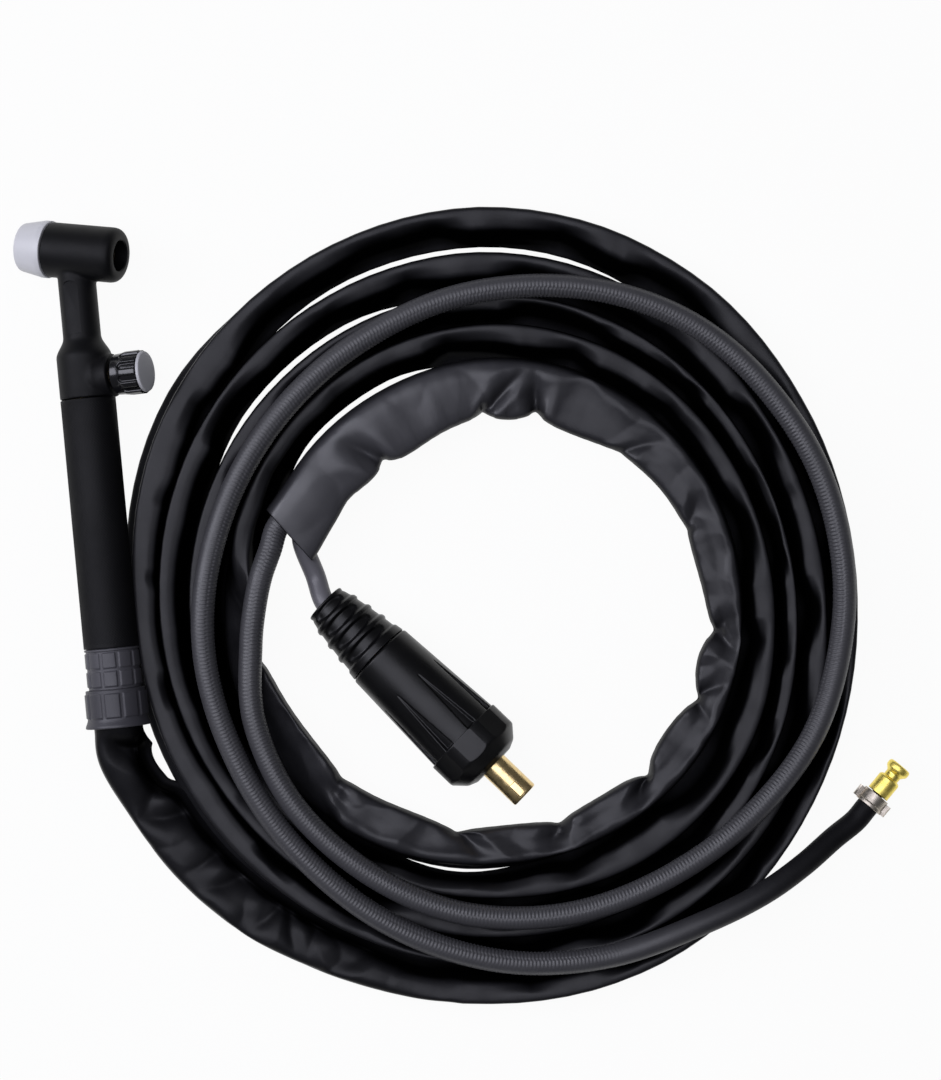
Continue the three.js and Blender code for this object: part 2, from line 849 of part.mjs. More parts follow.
// The cover's section at a station: its centre, its direction, its two half sizes and its roll.
function coverStation(turn, run = 0) {
  const along = Math.min(Math.max(turn, 0), coilTurns);
  const here = coilPoint(along);
  const next = coilPoint(along + 0.002);
  const direction = next.clone().sub(coilPoint(along - 0.002)).normalize();
  here.addScaledVector(direction, run);
  const width = coverWidthAt(along);
  const tall = coverTallAt(width);
  const leaning = smoothstep(along, coilTurns - 0.23, coilTurns);
  const height = lerp(tall / 2, mouthLift, leaning);
  const centre = new THREE.Vector3(here.x, here.y, height);
  const ridge = ridgeShift * width * (1 - leaning);
  return { centre, direction, width, tall, roll: radians(mouthRoll) * leaning, ridge };
}

const coverSides = 6;
const leadSides = 10;
function coverRing({ centre, direction, width, tall, roll: lean, ridge = 0 }, sides = coverSides) {
  const inward = new THREE.Vector3(-direction.y, direction.x, 0);
  const crest = Math.sin((2 * Math.PI * Math.floor(sides / 4)) / sides); // flat above and below
  const points = [];
  for (let side = 0; side < sides; side++) {
    const angle = (2 * Math.PI * side) / sides;
    // Lying flat it has round edges, and standing it is an ellipse.
    const flatPart = Math.max(0, width - tall) / 2;
    let across = (width / 2 - flatPart) * Math.cos(angle) + flatPart * Math.sign(Math.cos(angle));
    const up = ((tall / 2) * Math.sin(angle)) / crest;
    if (up > 0.1) across -= ridge;
    const sideways = across * Math.cos(lean) + up * Math.sin(lean);
    const height = up * Math.cos(lean) - across * Math.sin(lean);
    points.push(centre.clone().addScaledVector(inward, sideways).setZ(centre.z + height));
  }
  return points;
}

// A closed tube through rings of points that all have the same count.
function tubeOf(rings) {
  const count = rings[0].length;
  const positions = rings.flat().flatMap((point) => point.toArray());
  const faces = [];
  for (let row = 0; row + 1 < rings.length; row++) {
    for (let side = 0; side < count; side++) {
      const a = row * count + side;
      const b = row * count + ((side + 1) % count);
      faces.push(a, b, a + count, b, b + count, a + count);
    }
  }
  const last = (rings.length - 1) * count;
  for (let side = 1; side + 1 < count; side++) {
    faces.push(0, side + 1, side);
    faces.push(last, last + side, last + side + 1);
  }
  const geometry = new THREE.BufferGeometry();
  geometry.setAttribute("position", new THREE.Float32BufferAttribute(positions, 3));
  geometry.setIndex(faces);
  geometry.computeVertexNormals();
  return geometry;
}

const coilStations = [coverStation(0, -coverWidth)];
for (let step = 0; step / coilStepsPerTurn < coilTurns; step++) {
  coilStations.push(coverStation(step / coilStepsPerTurn));
}
coilStations.push(coverStation(coilTurns), coverStation(coilTurns, mouthRun));
const mouth = coilStations.at(-1);

function mouthPocket() {
  const depthStart = mouthRun - mouthDepth;
  const inner = [];
  for (const run of [depthStart, mouthRun + 1]) {
    const station = coverStation(coilTurns, run);
    station.width -= 2 * mouthWall;
    station.tall -= 2 * mouthWall;
    inner.push(coverRing(station));
  }
  return tubeOf(inner);
}

// The least distance between two loops, on points spread over the cover's surface.
function leastGap() {
  const perTurn = 96;
  const stations = [];
  for (let step = 0; step / perTurn < coilTurns; step++) {
    const corners = coverRing(coverStation(step / perTurn));
    const points = corners.flatMap((corner, side) => {
      const after = corners[(side + 1) % coverSides];
      return [corner, corner.clone().lerp(after, 1 / 3), corner.clone().lerp(after, 2 / 3)];
    });
    stations.push({ turn: step / perTurn, points });
  }
  let least = Infinity;
  stations.forEach((one) => {
    stations.forEach((other) => {
      const apart = other.turn - one.turn;
      if (apart < 0.5 || Math.abs(apart - Math.round(apart)) > 0.03) return;
      for (const p of one.points) {
        for (const q of other.points) least = Math.min(least, p.distanceTo(q));
      }
    });
  });
  return least;
}
console.log("least gap between the cover's loops: " + leastGap().toFixed(2) + " mm");

// ---------------------------------------------------------------- the cover's lead to the coil
// Chosen by hand, from the coil's centre, with the cover's width there.
const leadRoute = [
  [-173.5, -52.4, 14.2, 23],
  [-163.8, -74.2, 9, 23.5],
  [-145.9, -103.3, 7.2, 23.5],
  [-120.9, -129.6, 7.4, 22.5],
  [-88.4, -150.4, 8, 20.5],
  [-53.3, -165.6, 8.4, 17.6],
];

function sheathLead() {
  const start = coilStations[0];
  const back = coverStation(0, -coverWidth - clearance);
  const points = leadRoute.map(([x, y, z]) => new THREE.Vector3(coilCentre.x + x, coilCentre.y + y, z));
  const widths = leadRoute.map((entry) => entry[3]);
  const first = exit.clone();
  const second = exit.clone().add(new THREE.Vector3(0, -6, -0.1));
  const stops = [first, second, ...points, back.centre];
  const route = new THREE.CatmullRomCurve3(stops, false, "centripetal");
  const sizes = [2 * leadRadius, 2 * leadRadius, ...widths, start.width];
  const rings = [];
  const steps = 26;
  for (let step = 0; step <= steps; step++) {
    const share = step / steps;
    const centre = route.getPoint(share);
    const place = share * (sizes.length - 1);
    const index = Math.min(Math.floor(place), sizes.length - 2);
    const width = lerp(sizes[index], sizes[index + 1], place - index);
    const tangent = route.getTangent(share);
    const direction = new THREE.Vector2(tangent.x, tangent.y).normalize();
    if (step === 0) direction.set(0, -1);
    if (step === steps) direction.copy(back.direction);
    const flat = smoothstep(share, 0, 0.22);
    const tall = Math.min(lerp(2 * leadRadius, coverTallAt(width), flat), 2 * centre.z);
    rings.push(coverRing({ centre, direction, width, tall, roll: 0 }, leadSides));
  }
  return tubeOf(rings);
}

// ---------------------------------------------------------------- cable, hose and what is on them
function circle(radius, sides) {
  const outline = new THREE.Shape();
  for (let side = 0; side < sides; side++) {
    const angle = (2 * Math.PI * side) / sides;
    if (side === 0) outline.moveTo(radius, 0);
    else outline.lineTo(radius * Math.cos(angle), radius * Math.sin(angle));
  }
  outline.closePath();
  return outline;
}

function cordTube(points, radius, sides, steps) {
  const extrudePath = new THREE.CatmullRomCurve3(points, false, "centripetal");
  return new THREE.ExtrudeGeometry(circle(radius, sides), { steps, extrudePath, bevelEnabled: false });
}

// A point beside the middle of the mouth, this far across it and this far out of it.
function mouthPoint(across, run) {
  const { centre, direction, roll: lean } = coverStation(coilTurns, mouthRun + run);
  const inward = new THREE.Vector3(-direction.y, direction.x, 0);
  centre.addScaledVector(inward, across * Math.cos(lean));
  return centre.setZ(centre.z - across * Math.sin(lean));
}

const bareCable = cableRadius + 0.05;
const collarStart = bootLength + plugBodyLength;
// It rests on its collar and on the shoulder where the body starts.
const plugShoulder = bootLength + clearance + 0.8;
const plugTilt = Math.atan((collarRadius - plugBodyRadius) / (collarStart - plugShoulder));
const floorClearance = 0.05;
const plug = new THREE.Group();
plug.position.set(
  coilCentre.x + plugPlace[0],
  coilCentre.y + plugPlace[1],
  plugBodyRadius * Math.cos(plugTilt) - plugShoulder * Math.sin(plugTilt) + floorClearance,
);
plug.rotation.set(plugTilt, 0, radians(plugAngle - 90), "ZXY");
plug.updateMatrixWorld(true);

function powerCable() {
  const inside = (mouthWidth - mouthTall) / 2;
  const points = [
    mouthPoint(inside - 1.4, -12),
    mouthPoint(inside - 0.9, -6),
    mouthPoint(inside - 0.8, 0),
    new THREE.Vector3(coilCentre.x + cableBend[0], coilCentre.y + cableBend[1], cableBend[2]),
    ...[0, 9, 18, cableEnd].map((run) => plug.localToWorld(new THREE.Vector3(0, run, 0))),
  ];
  return cordTube(points, bareCable, 10, 16);
}

// The gas hose's route round the coil's centre, chosen by hand: direction, distance and height.
const hoseLies = coverTall + hoseOuterRadius + clearance;
const hoseRoute = [
  [160.4, 103.4, hoseLies - 0.4],
  [167.5, 105.2, hoseLies + 1.6],
  [175.6, 107.4, hoseLies + 0.9],
  [184.1, 110.5, hoseLies],
  [200.2, 119.3, hoseLies],
  [219.6, 127, hoseLies],
  [240.1, 133.2, hoseLies],
  [258.6, 139.4, hoseLies],
  [277.5, 143.1, hoseLies],
  [295.1, 145.5, hoseLies],
  [314.3, 150.1, hoseLies],
  [333.6, 156.3, hoseLies],
  [353.3, 158.7, hoseLies],
  [368.8, 159.5, hoseLies],
  [383.2, 159, hoseLies],
  [401.6, 157.1, hoseLies],
  [416.7, 153.6, hoseLies],
  [433.1, 147.2, hoseLies],
  [452.8, 139.8, hoseLies],
  [474.3, 132.5, hoseLies],
  [493, 129.2, hoseLies],
  [511, 128.4, hoseLies],
  [530.4, 129.9, hoseLies],
  [547, 132.2, hoseLies],
  [565.4, 134.9, hoseLies],
  [582.6, 140.1, hoseLies],
  [601.1, 148.2, hoseLies],
  [615.8, 155.5, hoseLies],
  [629.4, 161.9, hoseLies],
  [643.9, 167.1, hoseLies],
  [659.1, 172.3, hoseLies + 1.2],
  [668.1, 178.8, hoseLies - 2],
  [674.7, 184, hoseLies - 8.8],
  [680.4, 188.8, 9.6],
];
const nipplePlace = [194.6, 686.3]; // where the hose's last straight starts: distance and direction
const nippleAngle = 45;
const nippleRun = 7.4;
const clampRadius = hoseOuterRadius + clearance + clampThickness;
const nipple = new THREE.Group();
nipple.position.set(
  coilCentre.x + nipplePlace[0] * Math.cos(radians(nipplePlace[1])),
  coilCentre.y + nipplePlace[0] * Math.sin(radians(nipplePlace[1])),
  clampRadius + floorClearance,
);
nipple.rotation.z = radians(nippleAngle - 90);
nipple.updateMatrixWorld(true);

function gasHose() {
  const across = -(mouthWidth - mouthTall) / 2 + 0.8;
  const points = [
    mouthPoint(across, -12),
    mouthPoint(across, -4),
    mouthPoint(across, 4),
    ...hoseRoute.map(
      ([angle, distance, height]) =>
        new THREE.Vector3(
          coilCentre.x + distance * Math.cos(radians(angle)),
          coilCentre.y + distance * Math.sin(radians(angle)),
          height,
        ),
    ),
    ...[-8, -1, 3, nippleRun].map((run) => nipple.localToWorld(new THREE.Vector3(0, run, 0))),
  ];
  const bore = ring(0, hoseBore, nippleRun - nippleTailLength - 1, nippleRun + 1, 12);
  return cut(cordTube(points, hoseOuterRadius, 8, 68), bore.applyMatrix4(nipple.matrixWorld));
}

function hoseClamp() {
  const band = ring(hoseOuterRadius + clearance, clampRadius, 0, clampWidth, 24);
  const ears = [0, 180].map((side) => {
    const outline = new THREE.Shape();
    const foot = clampRadius - 0.5;
    const top = clampRadius + earReach;
    outline.moveTo(foot, -1.3);
    outline.lineTo(top - 1.4, -earWidth / 2);
    outline.lineTo(top, -earWidth / 2 + 1.2);
    outline.lineTo(top, earWidth / 2 - 1.2);
    outline.lineTo(top - 1.4, earWidth / 2);
    outline.lineTo(foot, 1.3);
    const hole = new THREE.Path();
    hole.moveTo(foot + 1.6, 0);
    hole.lineTo(top - 1.2, earWidth / 2 - 1.3);
    hole.lineTo(top - 1.2, -earWidth / 2 + 1.3);
    outline.holes.push(hole);
    return extruded(outline, clampWidth).rotateX(-Math.PI / 2).rotateY(radians(side));
  });
  return joined(band, ...ears).translate(0, nippleRun - clampWidth - 0.8, 0);
}

function gasNipple() {
  const start = nippleRun + clearance;
  const shoulder = start + nippleShoulderLength;
  const neck = shoulder + nippleNeckLength;
  const end = neck + nippleEndLength;
  const pitch = nippleTailLength / barbCount;
  const profile = [
    [nippleBore, end],
    ...arcPoints(nippleEndRadius - nippleEdgeRound, end - nippleEdgeRound, nippleEdgeRound, 90, 0, 3),
    [nippleEndRadius, neck + nippleConeLength],
    [nippleNeckRadius, neck],
    [nippleNeckRadius, shoulder],
    [nippleShoulderRadius - 1, shoulder],
    [nippleShoulderRadius, shoulder - 0.8],
    [nippleShoulderRadius, start],
    [barbStemRadius, start],
  ];
  for (let barb = 0; barb < barbCount; barb++) {
    profile.push([barbStemRadius, start - pitch * barb - 0.6 * pitch]);
    profile.push([barbRadius, start - pitch * barb - 0.6 * pitch - 0.2]);
    profile.push([barbStemRadius - 0.2, start - pitch * (barb + 1)]);
  }
  profile.push([nippleBore, start - nippleTailLength]);
  return turned(profile, 18);
}
nipple.add(named("hose_clamp", hoseClamp(), steel), named("gas_nipple", gasNipple(), brass));

// ---------------------------------------------------------------- the current plug
const boot = bareCable + 0.45; // radius of the hole that the cable enters by
const insertSpace = socketRadius + clearance;
const collarFront = collarStart + collarCylinder + collarChamfer + collarFaceRise;
const pinRoot = collarFront - pinFlangeLength - 3;
const socketStart = pinRoot - socketLength;

function plugBoot() {
  const profile = [[boot + 0.8, 0], [bootEndRadius - 0.6, 0]];
  const pitch = (bootLength - 3) / bootRibs;
  for (let rib = 0; rib < bootRibs; rib++) {
    const low = rib * pitch;
    const grown = (share) => ((low + share * pitch) / bootLength) ** bootSwell;
    const radius = (share) => lerp(bootEndRadius, bootFrontRadius, grown(share));
    profile.push([radius(0.1), low + 0.6]);
    profile.push([radius(0.4), low + 0.54 * pitch]);
    profile.push([radius(0.6) - bootRibRise, low + 0.72 * pitch]);
    profile.push([radius(0.9) - bootRibRise, low + 0.98 * pitch]);
  }
  profile.push([bootFrontRadius - 0.3, bootLength - 2.6]);
  profile.push([bootFrontRadius, bootLength - 2]);
  profile.push([bootFrontRadius, bootLength]);
  profile.push([boot, bootLength]);
  profile.push([boot, 3]);
  return turned(profile, 22);
}

// A flute that starts where the cone meets its floor and widens to the collar.
function plugFlute() {
  const start = bootLength + plugFluteStart;
  const outline = new THREE.Shape();
  outline.moveTo(0, start);
  outline.lineTo(plugFluteWidth / 2, collarStart);
  outline.lineTo(-plugFluteWidth / 2, collarStart);
  return extruded(outline, collarRadius).translate(0, 0, plugFluteRadius);
}

function plugBody() {
  const start = bootLength + clearance;
  const faceStart = collarFront - collarFaceRise;
  const body = turned(
    [
      [boot, start],
      [plugBodyRadius - 0.8, start],
      [plugBodyRadius, plugShoulder],
      [plugBodyFrontRadius, collarStart],
      [collarRadius - 0.4, collarStart],
      [collarRadius, collarStart + 0.5],
      [collarRadius, faceStart - collarChamfer],
      [collarShoulderRadius, faceStart],
      [collarFaceRadius, collarFront],
      [pinRadius + clearance, collarFront],
      [pinRadius + clearance, pinRoot + pinFlangeLength + clearance],
      [pinFlangeRadius + clearance, pinRoot + pinFlangeLength + clearance],
      [pinFlangeRadius + clearance, pinRoot - clearance],
      [insertSpace, pinRoot - clearance],
      [insertSpace, socketStart - clearance],
      [boot, socketStart - clearance],
    ],
    32,
  );
  const flutes = [];
  for (let index = 0; index < fluteCount; index++) {
    flutes.push(plugFlute().rotateY((2 * Math.PI * (index + 0.5)) / fluteCount));
  }
  const flats = ring(0, collarFlat / Math.cos(Math.PI / fluteCount), 0, collarFront + 1, fluteCount);
  const eightSided = solidOf(body).intersect(solidOf(flats.rotateY(Math.PI / fluteCount)));
  return cut(geometryOf(eightSided), ...flutes);
}

const screwSpots = [socketStart + setScrewStart, socketStart + setScrewStart + setScrewPitch];
function plugPin() {
  const tip = collarFront + pinLength;
  const body = turned(
    [
      [0, tip],
      [pinRadius - pinChamfer, tip],
      [pinRadius, tip - pinChamfer],
      [pinRadius, pinRoot + pinFlangeLength],
      [pinFlangeRadius, pinRoot + pinFlangeLength],
      [pinFlangeRadius, pinRoot],
      [socketRadius, pinRoot],
      [socketRadius, socketStart],
      [socketBore, socketStart],
      [socketBore, socketStart + socketBoreDepth],
      [0, socketStart + socketBoreDepth],
    ],
    24,
  );
  const lug = new THREE.BoxGeometry(lugWidth, lugLength, pinRadius + lugRise);
  lug.translate(0, tip - pinChamfer - lugLength / 2, (pinRadius + lugRise) / 2);
  const holes = screwSpots.map((spot) => {
    const hole = ring(0, setScrewRadius + clearance, 0, socketRadius + 1, 16);
    return hole.rotateX(Math.PI / 2).translate(0, spot, 0);
  });
  return cut(joined(body, lug), ...holes);
}

function setScrew(spot) {
  const low = socketBore - 0.2;
  const body = ring(0, setScrewRadius, low, socketRadius - 0.2, 16);
  const hex = ring(0, 1.5, socketRadius - 1.8, socketRadius + 1, 6);
  return cut(body, hex).rotateX(Math.PI / 2).translate(0, spot, 0);
}

function plugFerrule() {
  const ends = [socketStart + 0.5, socketStart + socketBoreDepth - 1];
  return ring(plugConductorRadius + clearance, socketBore - 2 * clearance, ...ends, 20);
}

plug.add(
  named("plug_boot", plugBoot(), rubber),
  named("plug_body", plugBody(), rubber),
  named("plug_pin", plugPin(), brass),
  named(
    "plug_strands",
    ring(0, plugConductorRadius, cableEnd + clearance, socketStart + socketBoreDepth - clearance, 16),
    copper,
  ),
  named("plug_ferrule", plugFerrule(), copper),
  named("plug_set_screw_rear", setScrew(screwSpots[0]), steel),
  named("plug_set_screw_front", setScrew(screwSpots[1]), steel),
);

const solidCoil = tubeOf(coilStations.map((station) => coverRing(station)));
const cords = new THREE.Group();
cords.add(
  named("sheath_lead", sheathLead(), coverBlack),
  named("sheath_coil", cut(solidCoil, mouthPocket()), coverBlack),
  named("power_cable", powerCable(), rubber),
  named("gas_hose", gasHose(), hoseBlack),
  nipple,
  plug,
);

export default new THREE.Group().add(handset, cords);
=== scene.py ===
# A gas-valve TIG torch with its covered lead in a coil, its current plug and its gas nipple.
# Lengths are in millimetres in the row frame, and mesh_object makes metres of them. X points to
# the coil, Y along the handle to the head, Z up. Lamps, camera and floor are placed in metres.
import math
import random

import bmesh
import bpy
import numpy as np
from mathutils import Matrix, Vector, noise


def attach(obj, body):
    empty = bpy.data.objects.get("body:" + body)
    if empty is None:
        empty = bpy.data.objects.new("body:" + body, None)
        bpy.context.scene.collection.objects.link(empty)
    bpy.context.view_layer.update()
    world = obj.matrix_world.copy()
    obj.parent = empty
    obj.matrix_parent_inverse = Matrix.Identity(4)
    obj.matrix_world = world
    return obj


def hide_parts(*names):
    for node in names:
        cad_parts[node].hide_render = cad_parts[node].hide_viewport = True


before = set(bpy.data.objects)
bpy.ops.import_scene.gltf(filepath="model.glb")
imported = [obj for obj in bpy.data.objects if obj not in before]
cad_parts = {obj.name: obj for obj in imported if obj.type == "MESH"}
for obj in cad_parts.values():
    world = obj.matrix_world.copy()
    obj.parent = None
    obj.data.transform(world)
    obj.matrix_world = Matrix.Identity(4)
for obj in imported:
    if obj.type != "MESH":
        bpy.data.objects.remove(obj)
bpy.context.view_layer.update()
scene = bpy.context.scene

MM = 0.001
TAU = 2 * math.pi


# ---- numbers
def clamp(value, low, high):
    return min(max(value, low), high)


def lerp(a, b, share):
    return a + (b - a) * share


def smoothstep(value, low, high):
    share = clamp((value - low) / (high - low), 0, 1)
    return share * share * (3 - 2 * share)


def rise(values, low, high):
    """smoothstep for an array."""
    share = np.clip((values - low) / (high - low), 0, 1)
    return share * share * (3 - 2 * share)


def fall(values, low, high):
    return 1 - rise(values, low, high)


def bell(values, middle, reach):
    return np.exp(-(((values - middle) / reach) ** 2))


def turned(degrees, axis):
    return Matrix.Rotation(math.radians(degrees), 4, axis)


# ---- meshes
def mesh_object(name, points, faces, matrix=None):
    """A smooth mesh from points in millimetres."""
    mesh = bpy.data.meshes.new(name)
    if matrix is not None:
        points = [matrix @ Vector(point) for point in points]
    mesh.from_pydata([Vector(point) * MM for point in points], [], faces)
    mesh.validate()
    mesh.shade_smooth()
    obj = bpy.data.objects.new(name, mesh)
    scene.collection.objects.link(obj)
    return obj


def tube(rings, loop=False, flipped=False):
    """Points and faces of a tube through rings of points. Its ends are closed unless it is a loop."""
    rows, count = len(rings), len(rings[0])
    points = [tuple(point) for ring in rings for point in ring]
    faces = []
    for row in range(rows if loop else rows - 1):
        low, high = row * count, (row + 1) % rows * count
        for side in range(count):
            after = (side + 1) % count
            faces.append((low + side, low + after, high + after, high + side))
    for row in () if loop else (0, rows - 1):
        centre = len(points)
        points.append(tuple(sum((Vector(point) for point in rings[row]), Vector()) / count))
        for side in range(count):
            a, b = row * count + side, row * count + (side + 1) % count
            faces.append((centre, a, b) if row else (centre, b, a))
    if flipped:
        faces = [(face[0], *face[:0:-1]) for face in faces]
    return points, faces


def rounded(profile, steps):
    """A profile of (radius, height) or (radius, height, fillet) corners as points."""
    points = []
    for index, corner in enumerate(profile):
        fillet = corner[2] if len(corner) > 2 else 0
        here = Vector(corner[:2])
        if fillet == 0 or index in (0, len(profile) - 1):
            points.append(here)
            continue
        before = Vector(profile[index - 1][:2]) - here
        after = Vector(profile[index + 1][:2]) - here
        reach = min(fillet, before.length * 0.49, after.length * 0.49)
        start = here + before.normalized() * reach
        end = here + after.normalized() * reach
        for step in range(steps + 1):
            share = step / steps
            points.append(start.lerp(here, share).lerp(here.lerp(end, share), share))
    return points


def refined(points, pitch):
    """More points along a profile, so that none are further apart than the pitch."""
    result = [points[0]]
    for a, b in zip(points, points[1:]):
        parts = max(1, math.ceil((b - a).length / pitch))
        result.extend(a.lerp(b, part / parts) for part in range(1, parts + 1))
    return result


def lathe(name, profile, matrix, sides=96, pitch=None, shape=None, steps=5):
    """A profile turned about local Y. shape(radius, height, angle) may change a radius.

    The profile closes on itself, or starts and ends on the axis."""
    points = rounded(profile, steps)
    if pitch:
        points = refined(points, pitch)
    on_axis = points[0].x < 1e-6
    if sum(a.x * b.y - b.x * a.y for a, b in zip(points, points[1:] + points[:1])) < 0:
        points.reverse()
    if on_axis:
        points = points[1:-1]
    rings = []
    for point in points:
        ring = []
        for side in range(sides):
            angle = TAU * side / sides
            radius = shape(point.x, point.y, angle) if shape else point.x
            ring.append((radius * math.sin(angle), point.y, radius * math.cos(angle)))
        rings.append(ring)
    return mesh_object(name, *tube(rings, loop=not on_axis), matrix)


def apply_modifiers(obj):
    bpy.context.view_layer.update()
    evaluated = obj.evaluated_get(bpy.context.evaluated_depsgraph_get())
    mesh = bpy.data.meshes.new_from_object(evaluated)
    obj.modifiers.clear()
    old = obj.data
    obj.data = mesh
    bpy.data.meshes.remove(old)


def modify(obj, kind, **values):
    modifier = obj.modifiers.new(kind.lower(), kind)
    for key, value in values.items():
        setattr(modifier, key, value)


def boolean(target, tool, operation="DIFFERENCE"):
    """Cuts the tool out of the target, or joins it, and deletes the tool."""
    modify(target, "BOOLEAN", operation=operation, object=tool, solver="EXACT")
    apply_modifiers(target)
    bpy.data.objects.remove(tool)


def bevel(obj, width, segments, sharper_than=30):
    angle = math.radians(sharper_than)
    modify(obj, "BEVEL", width=width * MM, segments=segments, limit_method="ANGLE", angle_limit=angle)
    apply_modifiers(obj)


def smooth_by_angle(obj, angle):
    obj.data.shade_smooth()
    obj.data.set_sharp_from_angle(angle=math.radians(angle))


def prism(name, outline, low, high, matrix):
    """An outline of (x, y) points in a plane, pushed along local Z from low to high."""
    count = len(outline)
    points = [(x, y, z) for z in (low, high) for x, y in outline]
    faces = [tuple(reversed(range(count))), tuple(range(count, 2 * count))]
    for side in range(count):
        after = (side + 1) % count
        faces.append((side, after, count + after, count + side))
    obj = mesh_object(name, points, faces, matrix)
    mesh = bmesh.new()
    mesh.from_mesh(obj.data)
    bmesh.ops.recalc_face_normals(mesh, faces=mesh.faces)
    mesh.to_mesh(obj.data)
    mesh.free()
    return obj


# ---- materials
def add_node(tree, kind, inputs, **values):
    """A node whose inputs are set to values or linked to sockets."""
    made = tree.nodes.new(kind)
    for key, value in values.items():
        setattr(made, key, value)
    for key, value in inputs.items():
        if isinstance(value, bpy.types.NodeSocket):
            tree.links.new(value, made.inputs[key])
        else:
            made.inputs[key].default_value = value
    return made


class Paint:
    """A Principled material and the nodes that feed it."""

    def __init__(self, name, color, roughness, metallic=0.0, specular=0.5):
        self.material = bpy.data.materials.new(name)
        self.material.use_nodes = True
        self.tree = self.material.node_tree
        self.inputs = self.tree.nodes["Principled BSDF"].inputs
        self.inputs["Base Color"].default_value = (*color, 1)
        self.inputs["Roughness"].default_value = roughness
        self.inputs["Metallic"].default_value = metallic
        self.inputs["Specular IOR Level"].default_value = specular
        self.place = self.node("ShaderNodeTexCoord", {}, "Object")
        self.normal = None

    def node(self, kind, inputs, output, **values):
        return add_node(self.tree, kind, inputs, **values).outputs[output]

    def feed(self, name, socket):
        self.tree.links.new(socket, self.inputs[name])

    def noise(self, scale, detail, roughness=0.55):
        inputs = {"Vector": self.place, "Scale": scale, "Detail": detail, "Roughness": roughness}
        return self.node("ShaderNodeTexNoise", inputs, "Fac")

    def pores(self, scale):
        inputs = {"Vector": self.place, "Scale": scale}
        return self.node("ShaderNodeTexVoronoi", inputs, "Distance", feature="DISTANCE_TO_EDGE")

    def between(self, source, from_low, from_high, low, high):
        inputs = {"Value": source, "From Min": from_low, "From Max": from_high, "To Min": low, "To Max": high}
        return self.node("ShaderNodeMapRange", inputs, "Result")

    def roughness(self, scale, low, high):
        """A roughness that varies in patches."""
        self.feed("Roughness", self.between(self.noise(scale, 5), 0.3, 0.7, low, high))

    def colored(self, share, other):
        """Mixes the base colour towards another one by a share."""
        current = self.inputs["Base Color"]
        before = current.links[0].from_socket if current.is_linked else current.default_value
        inputs = {"A": before, "B": (*other, 1), "Factor": share}
        self.feed("Base Color", self.node("ShaderNodeMix", inputs, "Result", data_type="RGBA"))

    def bump(self, height, distance, strength):
        inputs = {"Height": height, "Distance": distance, "Strength": strength}
        if self.normal is not None:
            inputs["Normal"] = self.normal
        self.normal = self.node("ShaderNodeBump", inputs, "Normal")
        self.feed("Normal", self.normal)


FINE_BUMP, COARSE_BUMP = 0.00004, 0.00007


def plastic(name, color, roughness, dust=(0.05, 0.05, 0.055), depth=FINE_BUMP, specular=0.5):
    """A moulded plastic: fine grain, a roughness that varies and faint dust."""
    paint = Paint(name, color, roughness, specular=specular)
    paint.roughness(45, roughness - 0.06, roughness + 0.08)
    paint.colored(paint.between(paint.noise(120, 6, 0.7), 0.5, 0.8, 0, 0.25), dust)
    paint.bump(paint.noise(2600, 3), depth, 0.6)
    return paint


def metal(name, color, roughness, tarnish):
    """A turned metal: fine scratches, a roughness that varies and tarnished patches."""
    paint = Paint(name, color, roughness, metallic=1.0)
    paint.roughness(350, roughness - 0.08, roughness + 0.12)
    paint.colored(paint.between(paint.noise(180, 6, 0.7), 0.5, 0.75, 0, 0.5), tarnish)
    paint.bump(paint.noise(1500, 4), 0.00003, 0.5)
    return paint


def painted_sheen_paint(name, dull, sheen, roughness, dust, pores):
    """Black cloth or rubber: dull where its painted-sheen share is low, as on steep sides, and with a painted
    sheen in its base colour and a higher specular level where that share is high.
    """
    paint = Paint(name, dull, roughness)
    # The attribute read here holds a painted sheen: it mixes the base colour towards the sheen colour, as if
    # lit.
    painted_sheen = paint.node("ShaderNodeAttribute", {}, "Fac", attribute_name="painted_sheen")
    paint.roughness(60, roughness - 0.04, roughness + 0.06)
    paint.colored(painted_sheen, sheen)
    dusty = paint.between(paint.noise(150, 6, 0.7), 0.45, 0.85, 0, 0.35)
    # Dust is masked by the painted sheen, so it shows only where that sheen is.
    paint.colored(paint.node("ShaderNodeMath", {0: dusty, 1: painted_sheen}, "Value", operation="MULTIPLY"), dust)
    paint.feed("Specular IOR Level", paint.between(painted_sheen, 0, 1, 0.0, 0.62))
    paint.bump(paint.pores(pores), FINE_BUMP, 0.4)
    paint.bump(paint.noise(420, 4), COARSE_BUMP, 0.3)
    return paint


# Stores each point's share of painted sheen, which lightens the base colour.
def set_painted_sheen(obj, values):
    attribute = obj.data.attributes.new("painted_sheen", "FLOAT", "POINT")
    attribute.data.foreach_set("value", np.asarray(values, dtype=np.float32))


moulding = plastic("moulding", (0.0028, 0.0028, 0.0034), 0.5, (0.006, 0.006, 0.007), specular=0.17)
grip = plastic("grip", (0.003, 0.003, 0.0036), 0.55, (0.007, 0.007, 0.008), specular=0.16)
ring_grey = plastic("ring_grey", (0.055, 0.054, 0.062), 0.45, (0.075, 0.074, 0.082), specular=0.4)
